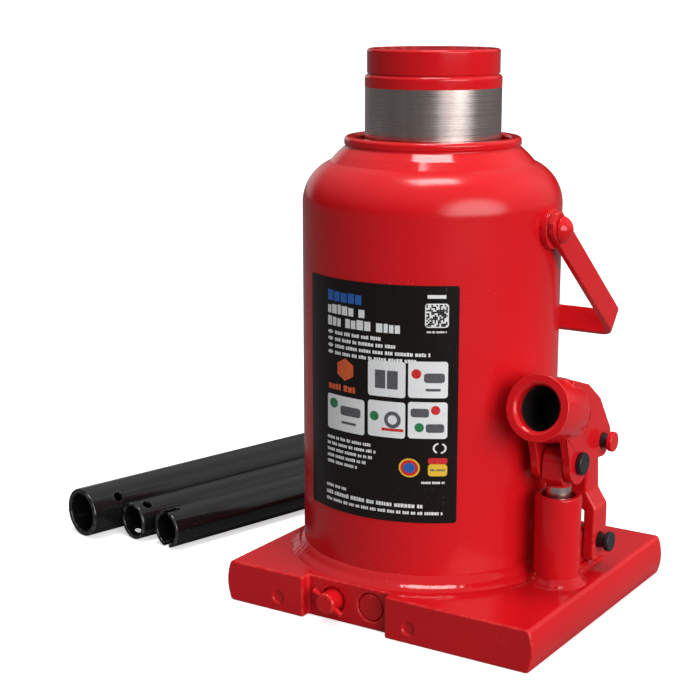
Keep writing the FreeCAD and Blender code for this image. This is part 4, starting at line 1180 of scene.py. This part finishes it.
@dataclass
class Pump:
    """Pump cylinder with its weld, the plunger, link, lever and their pins.

    Fields:
        top_round: rounding of the cylinder's top.
        coat_line: bare steel of the plunger that shows above the cylinder.
        casting_edge: rounding of the lug and the plunger's eye, and half that of the link.
        lever_edge: rounding of the lever.
        pin_edge: rounding of the pin heads.
        clip_edge: rounding of the pins' clips.
        head: height of a pin's head.
        slack: gap round the plunger and under a pin's head.
        bead_leg: height and width of the weld at the pump's foot.
        sprayed: depth to which the spray reached into the socket; deeper in, the bore is near-black as
            painted shade.
        bore_slack: reach beyond the socket's bore that still counts as its wall.
    """

    top_round: float = 1.0 * MM
    coat_line: float = 4.2 * MM
    casting_edge: float = 0.8 * MM
    lever_edge: float = 0.5 * MM
    pin_edge: float = 0.35 * MM
    clip_edge: float = 0.15 * MM
    head: float = 2.4 * MM
    slack: float = 0.05 * MM
    bead_leg: float = 3.6 * MM
    sprayed: float = 5.0 * MM
    bore_slack: float = 0.2 * MM

    def cylinder(self) -> bmesh.types.BMesh:
        """Turn the pump cylinder round its bore.

        Returns:
            The cylinder.
        """
        box, seal = Extent.of("pump_cylinder"), Extent.of("pump_lip_seal")
        rod = Extent.of("pump_plunger").size.x / 2 + self.slack
        points = [
            (rod, box.low.z), (box.radius, box.low.z), (box.radius, box.high.z),
            (seal.radius, box.high.z), (seal.radius, seal.low.z), (rod, seal.low.z),
        ]
        shape = turned(rounded(points, {2: self.top_round, 3: self.top_round * 0.6}), 96)
        bmesh.ops.translate(shape, verts=shape.verts, vec=(box.centre.x, box.centre.y, 0.0))
        return shape

    def build(self) -> None:
        """Shape and dress the pump and its linkage."""
        box = Extent.of("pump_cylinder")
        cylinder = Piece("pump_cylinder_coated", Body.JACK, Slot.RED_PAINT, ("pump_cylinder",), (RED,))
        cylinder.show(self.cylinder())
        bead = WeldBead("pump_foot_bead", "pump_weld", box.radius, self.bead_leg, pitch=3.4 * MM,
                        wander=0.18, seed=4.1)
        bead.dress(bead.build(box.centre, Extent.of("reservoir_casing").low.z))
        line = box.high.z + self.coat_line
        plunger = softened_copy("pump_plunger", self.casting_edge * 0.8, 3, [(Axis.Z, line)])
        paint_beyond(plunger, Axis.Z, line)
        Piece("plunger_with_coated_eye", Body.PLUNGER, Slot.POLISHED, ("pump_plunger",),
              (RAM_STEEL, CAST_RED)).show(plunger)
        castings = (("link_lug", "lug_of_the_link", Body.JACK, self.casting_edge),
                    ("pump_link", "link_forked", Body.LINK, self.casting_edge * 1.8))
        for node, name, body, width in castings:
            soften_node(node, name, body, Slot.RED_PAINT, CAST_RED, width, 4)
        lever = Piece("lever_with_socket", Body.LEVER, Slot.RED_PAINT, ("handle_socket",), (CAST_RED, BORE_SHADE))
        lever.show(self.lever())
        self.pins()

    def lever(self) -> bmesh.types.BMesh:
        """Soften the lever and give the depth of its socket bare steel darkened to near-black, a painted
        shade.

        Returns:
            The lever, with the second finish in its bore.
        """
        bore = next(mount for mount in frame["record"]["mounts"] if mount["name"] == "handle_bore")
        axis, length = Vector(bore["axis"]), bore["dims"]["length_mm"] * MM
        limit = Vector(bore["pos_m"]) + axis * (length / 2 - self.sprayed)
        reach = bore["dims"]["r_mm"] * MM + self.bore_slack
        shape = softened_copy("handle_socket", self.lever_edge)
        slice_at(shape, limit, axis)
        for face in shape.faces:
            offset = face.calc_center_median() - limit
            depth = -offset.dot(axis)
            across = offset + axis * depth
            inward = face.normal.dot(across) < -0.5 * across.length
            floor = face.normal.dot(axis) > SQUARE_ON
            # Faces deep in the bore take the near-black painted shade.
            if (inward or floor) and 0.0 < depth < length and across.length < reach:
                face.material_index = 1
        return shape

    def pins(self) -> None:
        """Shape and dress the three pins and their clips; the link pin's head was sprayed."""
        pins = (("plunger_pin", Body.LEVER, PIN_OXIDE), ("link_pin", Body.LEVER, RED),
                ("foot_pin", Body.LINK, PIN_OXIDE))
        for node, body, head in pins:
            head_start = Extent.of(node).high.x - self.head - self.slack
            pin = softened_copy(node, self.pin_edge, 3, [(Axis.X, head_start)])
            paint_beyond(pin, Axis.X, head_start)
            Piece(f"{node}_headed", body, Slot.OXIDE, (node,), (PIN_OXIDE, head)).show(pin)
            soften_node(f"{node}_clip", f"{node}_clip_pressed", body, Slot.OXIDE, PIN_OXIDE,
                        self.clip_edge, 2)


@dataclass
class CarryHandle:
    """Strap bent into a carry handle, with its pivot bosses and rivets.

    Fields:
        strap_edge: rounding of the strap's edges.
        boss_edge: rounding of the bosses.
        rivet_edge: rounding round the rivet's dome.
    """

    strap_edge: float = 0.7 * MM
    boss_edge: float = 0.5 * MM
    rivet_edge: float = 0.5 * MM

    def build(self) -> None:
        """Shape and dress the handle and what it turns on."""
        soften_node("carry_handle", "carry_handle_strap", Body.BAIL, Slot.RED_PAINT, RED, self.strap_edge)
        for side in ("left", "right"):
            for part, width in (("boss", self.boss_edge), ("rivet", self.rivet_edge)):
                node = f"{side}_pivot_{part}"
                soften_node(node, f"{node}_coated", Body.JACK, Slot.RED_PAINT, RED, width)


@dataclass
class ReleaseValve:
    """Release screw with the pin across its head.

    Fields:
        screw_edge: rounding of the screw's head.
        pin_edge: rounding of the pin's ends.
    """

    screw_edge: float = 0.5 * MM
    pin_edge: float = 0.25 * MM

    def build(self) -> None:
        """Shape and dress the screw and its pin."""
        parts = (("release_screw", self.screw_edge), ("release_cross_pin", self.pin_edge))
        for node, width in parts:
            soften_node(node, f"{node}_coated", Body.SCREW, Slot.RED_PAINT, CAST_RED, width)


@dataclass
class HandleTubes:
    """Three loose tubes of the pump handle, lying beside the jack.

    Fields:
        mouth_edge: rounding of the mouths, holes and the slot.
    """

    mouth_edge: float = 0.45 * MM

    def build(self) -> None:
        """Shape and dress the three tubes."""
        for body in (Body.JOINING, Body.GRIP, Body.KEY):
            soften_node(body.value, f"{body.value}_enamelled", body, Slot.BLACK, TUBE_BLACK,
                        self.mouth_edge)


class Mark(Enum):
    """Kinds of generic print on the label."""

    BAR = "bar"
    PANEL = "panel"
    DISC = "disc"
    HEXAGON = "hexagon"
    RING = "ring"
    WORDS = "words"
    SPECKLE = "speckle"


@dataclass(frozen=True)
class Print:
    """One printed mark on the flat label, in millimetres.

    Fields:
        mark: kind of mark.
        ink: its ink.
        across: its left side, from the label's left side.
        up: its foot, from the label's foot.
        width: its width.
        height: its height.
        layer: number of ink layers up to its face.
    """

    mark: Mark
    ink: Ink
    across: float
    up: float
    width: float
    height: float
    layer: int = 1


@dataclass
class DataLabel:
    """Black film label wrapped round the casing, printed with generic bars, panels and symbols.

    Fields:
        film: thickness of the film.
        corner: rounding of the film's corners.
        ink_step: thickness of one layer of ink.
        strip: widest face across the bend.
        cells: cells along the side of a speckled square.
        cell_fill: share of a cell's width that its ink covers.
        round_sides: sides of a disc or a ring; a ring is open by one side at top and foot.
        ring_bore: inner size of a ring against its outer size.
        seed: seed of the dashes that stand for words.
    """

    film: float = 0.25 * MM
    corner: float = 1.2 * MM
    ink_step: float = 0.02 * MM
    strip: float = 2.0 * MM
    cells: int = 13
    cell_fill: float = 0.96
    round_sides: int = 28
    ring_bore: float = 0.72
    seed: int = 11

    def prints(self) -> list[Print]:
        """List the marks from the top of the label to its foot.

        Returns:
            The marks, in the order in which they are printed.
        """
        marks = [
            Print(Mark.WORDS, Ink.BLUE, 14.5, 98.4, 25.0, 5.0),
            Print(Mark.WORDS, Ink.WHITE, 14.5, 92.6, 24.0, 4.4),
            Print(Mark.WORDS, Ink.WHITE, 14.5, 87.0, 40.0, 4.4),
            Print(Mark.BAR, Ink.WHITE, 65.6, 103.2, 8.2, 1.6),
            Print(Mark.PANEL, Ink.WHITE, 64.6, 90.2, 10.4, 10.8),
            Print(Mark.SPECKLE, Ink.FILM, 65.1, 90.7, 9.4, 9.8, 2),
            Print(Mark.WORDS, Ink.WHITE, 65.4, 87.8, 9.0, 0.9),
            Print(Mark.HEXAGON, Ink.ORANGE, 20.2, 62.4, 11.0, 10.4),
            Print(Mark.WORDS, Ink.ORANGE, 15.0, 57.4, 18.5, 3.0),
        ]
        for row, width in enumerate((31.0, 38.0, 53.0, 47.0)):
            up = 83.2 - 3.1 * row
            marks.append(Print(Mark.DISC, Ink.WHITE, 14.6, up, 3.4, 1.7))
            marks.append(Print(Mark.WORDS, Ink.WHITE, 19.4, up, width - 5.0, 1.7))
        panels = (
            (38.4, 57.9, 17.8, 16.4), (57.4, 58.3, 17.6, 16.6),
            (14.2, 38.6, 22.4, 16.4), (38.4, 39.2, 17.8, 16.6), (57.4, 39.6, 17.6, 16.8),
        )
        marks += [Print(Mark.PANEL, Ink.WHITE, *panel) for panel in panels]
        marks += self.symbols()
        for row, width in enumerate((26.0, 28.5, 26.5, 23.5, 19.0)):
            marks.append(Print(Mark.WORDS, Ink.WHITE, 14.0, 33.8 - 2.9 * row, width, 1.5))
        marks += [
            Print(Mark.RING, Ink.WHITE, 68.6, 32.6, 6.2, 5.2),
            Print(Mark.DISC, Ink.YELLOW, 53.4, 21.4, 9.6, 8.8),
            Print(Mark.DISC, Ink.SCARLET, 54.2, 22.1, 8.0, 7.4, 2),
            Print(Mark.DISC, Ink.BLUE, 55.6, 23.4, 5.2, 4.8, 3),
            Print(Mark.PANEL, Ink.YELLOW, 66.6, 22.2, 8.6, 5.6),
            Print(Mark.PANEL, Ink.SCARLET, 66.6, 27.9, 8.6, 2.8),
            Print(Mark.WORDS, Ink.GREY, 67.6, 24.6, 6.6, 1.0, 2),
            Print(Mark.WORDS, Ink.WHITE, 63.6, 18.6, 11.4, 1.1),
            Print(Mark.WORDS, Ink.WHITE, 13.2, 10.6, 14.5, 1.5),
            Print(Mark.WORDS, Ink.WHITE, 13.2, 7.0, 52.0, 1.9),
            Print(Mark.WORDS, Ink.WHITE, 13.2, 3.9, 61.0, 1.5),
        ]
        return marks

    def symbols(self) -> list[Print]:
        """List the plain shapes inside the white panels.

        Returns:
            The shapes, in the order in which they are printed.
        """
        return [
            Print(Mark.BAR, Ink.GREY, 41.9, 61.6, 5.0, 8.4, 2),
            Print(Mark.BAR, Ink.GREY, 47.7, 61.6, 5.0, 8.4, 2),
            Print(Mark.DISC, Ink.SCARLET, 58.8, 67.0, 4.4, 4.4, 2),
            Print(Mark.PANEL, Ink.GREY, 64.4, 65.2, 9.2, 4.4, 2),
            Print(Mark.BAR, Ink.GREY, 65.2, 61.4, 6.6, 1.2, 2),
            Print(Mark.DISC, Ink.GREEN, 15.8, 48.6, 5.4, 4.6, 2),
            Print(Mark.PANEL, Ink.GREY, 22.9, 46.2, 11.6, 4.4, 2),
            Print(Mark.BAR, Ink.GREY, 23.6, 42.2, 8.4, 1.2, 2),
            Print(Mark.DISC, Ink.GREEN, 39.4, 46.4, 4.4, 4.4, 2),
            Print(Mark.DISC, Ink.GREY, 46.4, 43.6, 7.8, 7.8, 2),
            Print(Mark.DISC, Ink.WHITE, 48.1, 45.3, 4.4, 4.4, 3),
            Print(Mark.BAR, Ink.SCARLET, 45.2, 42.2, 10.2, 1.3, 2),
            Print(Mark.PANEL, Ink.GREY, 58.6, 49.4, 8.2, 4.0, 2),
            Print(Mark.DISC, Ink.SCARLET, 67.6, 50.6, 4.2, 4.2, 2),
            Print(Mark.PANEL, Ink.GREY, 65.4, 42.4, 8.2, 4.0, 2),
            Print(Mark.DISC, Ink.GREEN, 60.4, 42.6, 4.2, 4.2, 2),
        ]

    def outlines(self, mark: Print, chance: random.Random) -> list[list[Point]]:
        """Flat outlines of one mark, in metres from the label's lower left corner.

        Args:
            mark: the printed mark.
            chance: seeded source of the dashes and speckles.

        Returns:
            One outline for each separate patch of ink.
        """
        left, low = mark.across * MM, mark.up * MM
        wide, tall = mark.width * MM, mark.height * MM
        middle = (left + wide / 2, low + tall / 2)
        if mark.mark is Mark.WORDS:
            return self.words(left, low, wide, tall, chance)
        if mark.mark is Mark.SPECKLE:
            return self.speckles(left, low, wide, tall, chance)
        if mark.mark in (Mark.DISC, Mark.HEXAGON, Mark.RING):
            sides = 6 if mark.mark is Mark.HEXAGON else self.round_sides
            start = math.pi / 2
            circle = arc((0.0, 0.0), 0.5, start, start + math.tau, sides)[:-1]
            placed = [(middle[0] + x * wide, middle[1] + y * tall) for x, y in circle]
            if mark.mark is not Mark.RING:
                return [placed]
            inner = [(middle[0] + x * wide * self.ring_bore, middle[1] + y * tall * self.ring_bore)
                     for x, y in circle]
            halves = slice(1, sides // 2 - 1), slice(sides // 2 + 1, sides - 1)
            return [[*placed[half], *reversed(inner[half])] for half in halves]
        outline = box_outline(left, low, wide, tall)
        if mark.mark is Mark.PANEL:
            bend = min(1.4 * MM, tall * 0.3)
            outline = rounded(outline, {corner: bend for corner in range(4)}, 5)
        return [outline]

    def speckles(self, left: float, low: float, wide: float, tall: float,
                 chance: random.Random) -> list[list[Point]]:
        """Random cells of a square grid.

        Args:
            left: left side of the grid.
            low: foot of the grid.
            wide: width of the grid.
            tall: height of the grid.
            chance: seeded source that fills half of the cells.

        Returns:
            One outline for each filled cell.
        """
        count = self.cells
        spots = [(column, row) for column in range(count) for row in range(count) if chance.random() < 0.5]
        cell, rise = wide / count, tall / count
        return [box_outline(left + column * cell, low + row * rise, cell * self.cell_fill,
                            rise * self.cell_fill) for column, row in spots]

    def words(self, left: float, low: float, wide: float, tall: float,
              chance: random.Random) -> list[list[Point]]:
        """Short dashes in uneven groups that read as a line of print from afar.

        Args:
            left: start of the line.
            low: foot of the line.
            wide: length of the line.
            tall: height of the line.
            chance: seeded source of the lengths.

        Returns:
            One outline for each dash.
        """
        dashes = []
        at = left
        while at < left + wide - tall * 0.4:
            for _ in range(chance.randint(2, 6)):
                length = tall * chance.uniform(0.42, 0.78)
                if at + length > left + wide:
                    break
                rise = tall * chance.uniform(0.82, 1.0)
                dashes.append(box_outline(at, low, length, rise))
                at += length + tall * 0.14
            at += tall * 0.5
        return dashes

    def bend(self, shape: bmesh.types.BMesh, radius: float, middle: float, width: float,
             foot: float) -> None:
        """Divide a flat shape into strips and wrap it round the casing.

        Args:
            shape: flat shape, with its height off the film in Y turned outwards.
            radius: outside of the casing.
            middle: direction of the label's middle line, in radians from +X.
            width: width of the label.
            foot: height of the label's lower edge.
        """
        for number in range(1, int(width / self.strip) + 1):
            slice_at(shape, (number * self.strip, 0.0, 0.0), (1.0, 0.0, 0.0))
        for vert in shape.verts:
            turn = middle + (vert.co.x - width / 2) / radius
            reach = radius - vert.co.y
            vert.co = (reach * math.cos(turn), reach * math.sin(turn), vert.co.z + foot)
        bmesh.ops.recalc_face_normals(shape, faces=shape.faces)

    def patch(self, shape: bmesh.types.BMesh, outline: list[Point], low: float, high: float,
              material: int) -> None:
        """Add a thin closed patch to a flat shape.

        Args:
            shape: the shape to add to.
            outline: outline of the patch, across and up.
            low: distance of its back from the casing.
            high: distance of its face from the casing.
            material: number of its finish.
        """
        face = shape.faces.new([shape.verts.new((across, -low, up)) for across, up in outline])
        face.material_index = material
        grown = bmesh.ops.extrude_face_region(shape, geom=[face], use_keep_orig=True)
        raised = [item for item in grown["geom"] if isinstance(item, bmesh.types.BMVert)]
        bmesh.ops.translate(shape, verts=raised, vec=(0.0, low - high, 0.0))

    def build(self) -> None:
        """Shape and dress the film and its print."""
        box, radius = Extent.of("data_label"), Extent.of("reservoir_casing").radius
        sides = (box.low.x, box.high.x)
        first, last = (math.atan2(-math.sqrt(radius ** 2 - side ** 2), side) for side in sides)
        width, middle = (last - first) * radius, (first + last) / 2
        sheet = bmesh.new()
        edge = box_outline(0.0, 0.0, width, box.size.z)
        corners = {corner: self.corner for corner in range(4)}
        self.patch(sheet, rounded(edge, corners, 5), 0.0, self.film, 0)
        self.bend(sheet, radius, middle, width, box.low.z)
        Piece("label_film_sheet", Body.JACK, Slot.LABEL, ("data_label",), (Ink.FILM.value,)).show(sheet)
        chance = random.Random(self.seed)
        inks = list(Ink)
        ink = bmesh.new()
        for mark in self.prints():
            face = self.film + mark.layer * self.ink_step
            for outline in self.outlines(mark, chance):
                self.patch(ink, outline, face - self.ink_step, face, inks.index(mark.ink))
        self.bend(ink, radius, middle, width, box.low.z)
        finishes = tuple(colour.value for colour in inks)
        Piece("label_print", Body.JACK, Slot.LABEL, (), finishes).show(ink)


def box_outline(left: float, low: float, wide: float, tall: float) -> list[Point]:
    """Corners of an upright box."""
    return [(left, low), (left + wide, low), (left + wide, low + tall), (left, low + tall)]


@dataclass
class HiddenWorks:
    """Seals, rings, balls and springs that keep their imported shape."""

    def build(self) -> None:
        """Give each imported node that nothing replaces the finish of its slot."""
        replaced = {name for piece in bpy.data.objects for name in (piece.get("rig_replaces") or [])}
        for name, node in frame["nodes"].items():
            kept = node.data.materials[0].name.split(".")[0] if node.data.materials else ""
            known = [slot for slot in Slot if slot.value == kept]
            if name not in replaced and known:
                dress(name, SLOT_FINISH[known[0]])


# ---------------------------------------------------------------------------------------------
# Studio
# ---------------------------------------------------------------------------------------------


def facing(around: float, above: float) -> Vector:
    """Direction from the object to a light.

    Args:
        around: degrees from -Y towards +X.
        above: degrees above the floor.

    Returns:
        The direction, of length one.
    """
    turn, rise = math.radians(around), math.radians(above)
    return Vector((math.sin(turn) * math.cos(rise), -math.cos(turn) * math.cos(rise), math.sin(rise)))


@dataclass(frozen=True)
class Softbox:
    """Square-cornered studio light.

    Fields:
        name: name of the light.
        around: direction from the object, in degrees from -Y towards +X.
        above: degrees above the floor.
        distance: distance from the object's middle.
        width: width of the light.
        height: height of the light.
        power: power in watts.
    """

    name: str
    around: float
    above: float
    distance: float
    width: float
    height: float
    power: float

    def hang(self, target: Vector) -> None:
        """Hang the light and turn it to the target.

        Args:
            target: place that the light faces.
        """
        data = bpy.data.lights.new(self.name, "AREA")
        data.shape = "RECTANGLE"
        data.size, data.size_y = self.width, self.height
        data.energy = self.power
        light = bpy.data.objects.new(self.name, data)
        bpy.context.scene.collection.objects.link(light)
        out = facing(self.around, self.above)
        light.location = target + out * self.distance
        light.rotation_euler = out.to_track_quat("Z", "Y").to_euler()


@dataclass(frozen=True)
class Glow:
    """Round patch of the room's light with a soft edge.

    Fields:
        around: direction from the object, in degrees from -Y towards +X.
        above: degrees above the floor.
        core: half-width of its even middle, in degrees.
        edge: half-width at which it has faded out, in degrees.
        strength: strength of its middle.
    """

    around: float
    above: float
    core: float
    edge: float
    strength: float

    def lit(self, board: Board, direction: bpy.types.NodeSocket) -> bpy.types.NodeSocket:
        """Add the patch to the room's nodes.

        Args:
            board: the room's board.
            direction: direction in which the room is seen.

        Returns:
            The socket of the patch's strength.
        """
        towards = board.add("ShaderNodeVectorMath", operation="DOT_PRODUCT")
        board.tree.links.new(direction, towards.inputs[0])
        towards.inputs[1].default_value = facing(self.around, self.above)
        fade = board.add("ShaderNodeMapRange", clamp=True, interpolation_type="SMOOTHSTEP")
        board.feed(fade, Value=towards.outputs["Value"], From_Min=math.cos(math.radians(self.edge)),
                   From_Max=math.cos(math.radians(self.core)), To_Min=0.0, To_Max=self.strength)
        return fade.outputs["Result"]


@dataclass
class Studio:
    """Pale floor, soft lights and the camera.

    Fields:
        camera_place: where the camera stands.
        camera_turn: its rotation, in degrees about X, Y and Z.
        lens: focal length in millimetres on a 36 mm sensor.
        target: height of the object's middle, which the top light faces.
        floor_size: side of the floor.
        paper: whiteness of the floor to look at.
        bounce: share of light that the floor throws back at the object.
        glow: light that the paper adds of its own to look at, which keeps shadows pale.
        dim: strength of the room's light near the floor.
        overhead: strength of the room's light from above.
        horizon: rise below which the room is dim, as the sine of its angle.
        zenith: rise above which the room is brightest.
    """

    camera_place: Colour = (0.36785, -0.64076, 0.28414)
    camera_turn: Colour = (77.277, 0.0, 32.853)
    lens: float = 81.07
    target: float = 0.11
    floor_size: float = 300.0
    paper: float = 0.93
    bounce: float = 0.2
    glow: float = 0.55
    dim: float = 0.02
    overhead: float = 0.6
    horizon: float = 0.15
    zenith: float = 0.75

    def glows(self) -> tuple[Glow, ...]:
        """Describe the room's soft patches of light.

        Returns:
            The key, a broad fill beside it and a faint one behind.
        """
        return (
            Glow(around=68.0, above=9.0, core=14.0, edge=34.0, strength=6.4),
            Glow(around=132.0, above=12.0, core=8.0, edge=50.0, strength=0.5),
            Glow(around=-124.0, above=0.0, core=6.0, edge=24.0, strength=0.7),
        )

    def build(self) -> None:
        """Lay the floor, hang the lights and set the camera."""
        self.floor()
        self.air()
        top = Softbox("top_softbox", around=46.0, above=87.0, distance=1.5, width=0.6, height=0.4,
                      power=13.0)
        top.hang(Vector((0.0, 0.0, self.target)))
        bpy.context.scene.view_settings.view_transform = "Standard"
        self.camera()

    def floor(self) -> None:
        """Lay a sheet of paper that is white to look at and throws little light back up."""
        sheet = bmesh.new()
        bmesh.ops.create_grid(sheet, x_segments=1, y_segments=1, size=self.floor_size / 2)
        mesh = bpy.data.meshes.new("studio_floor")
        sheet.to_mesh(mesh)
        sheet.free()
        ground = bpy.data.objects.new("studio_floor", mesh)
        bpy.context.scene.collection.objects.link(ground)
        paper = bpy.data.materials.new("studio_paper")
        paper.use_nodes = True
        board = Board(paper.node_tree)
        seen = paper.node_tree.nodes["Principled BSDF"]
        seen.inputs["Base Color"].default_value = (self.paper, self.paper, self.paper, 1.0)
        seen.inputs["Roughness"].default_value = 0.9
        seen.inputs["Emission Color"].default_value = (1.0, 1.0, 1.0, 1.0)
        seen.inputs["Emission Strength"].default_value = self.glow
        thrown = board.add("ShaderNodeBsdfDiffuse")
        thrown.inputs["Color"].default_value = (self.bounce, self.bounce, self.bounce, 1.0)
        mixed = board.add("ShaderNodeMixShader")
        looked_at = board.add("ShaderNodeLightPath").outputs["Is Camera Ray"]
        for socket, source in zip(mixed.inputs, (looked_at, thrown.outputs[0], seen.outputs[0])):
            board.plug(source, socket)
        board.feed(paper.node_tree.nodes["Material Output"], Surface=mixed.outputs[0])
        mesh.materials.append(paper)

    def air(self) -> None:
        """Light the room evenly from overhead and leave it dim near the floor."""
        world = bpy.data.worlds.new("studio_air")
        world.use_nodes = True
        board = Board(world.node_tree)
        direction = board.add("ShaderNodeTexCoord").outputs["Generated"]
        upward = board.feed(board.add("ShaderNodeSeparateXYZ"), Vector=direction).outputs["Z"]
        strength = board.spread(upward, self.horizon, self.zenith, self.dim, self.overhead)
        for glow in self.glows():
            strength = board.math("ADD", strength, glow.lit(board, direction))
        looked_at = board.add("ShaderNodeLightPath").outputs["Is Camera Ray"]
        strength = board.math("MAXIMUM", strength, looked_at)
        backdrop = world.node_tree.nodes["Background"]
        backdrop.inputs["Color"].default_value = (1.0, 1.0, 1.0, 1.0)
        board.feed(backdrop, Strength=strength)
        bpy.context.scene.world = world

    def camera(self) -> None:
        """Stand the camera and make it the scene's own."""
        data = bpy.data.cameras.new("studio_camera")
        data.lens = self.lens
        data.sensor_width = 36.0
        camera = bpy.data.objects.new("studio_camera", data)
        bpy.context.scene.collection.objects.link(camera)
        camera.location = self.camera_place
        camera.rotation_euler = [math.radians(turn) for turn in self.camera_turn]
        bpy.context.scene.camera = camera


def main() -> None:
    """Build the studio and every assembly."""
    logging.basicConfig(level=logging.INFO, format="%(name)s: %(message)s")
    assemblies = (Studio(), Foundation(), Reservoir(), Lift(), Pump(), CarryHandle(), ReleaseValve(),
                  HandleTubes(), DataLabel(), HiddenWorks())
    for assembly in assemblies:
        assembly.build()
        log.info("%s done", type(assembly).__name__)


if __name__ == "__main__":
    main()
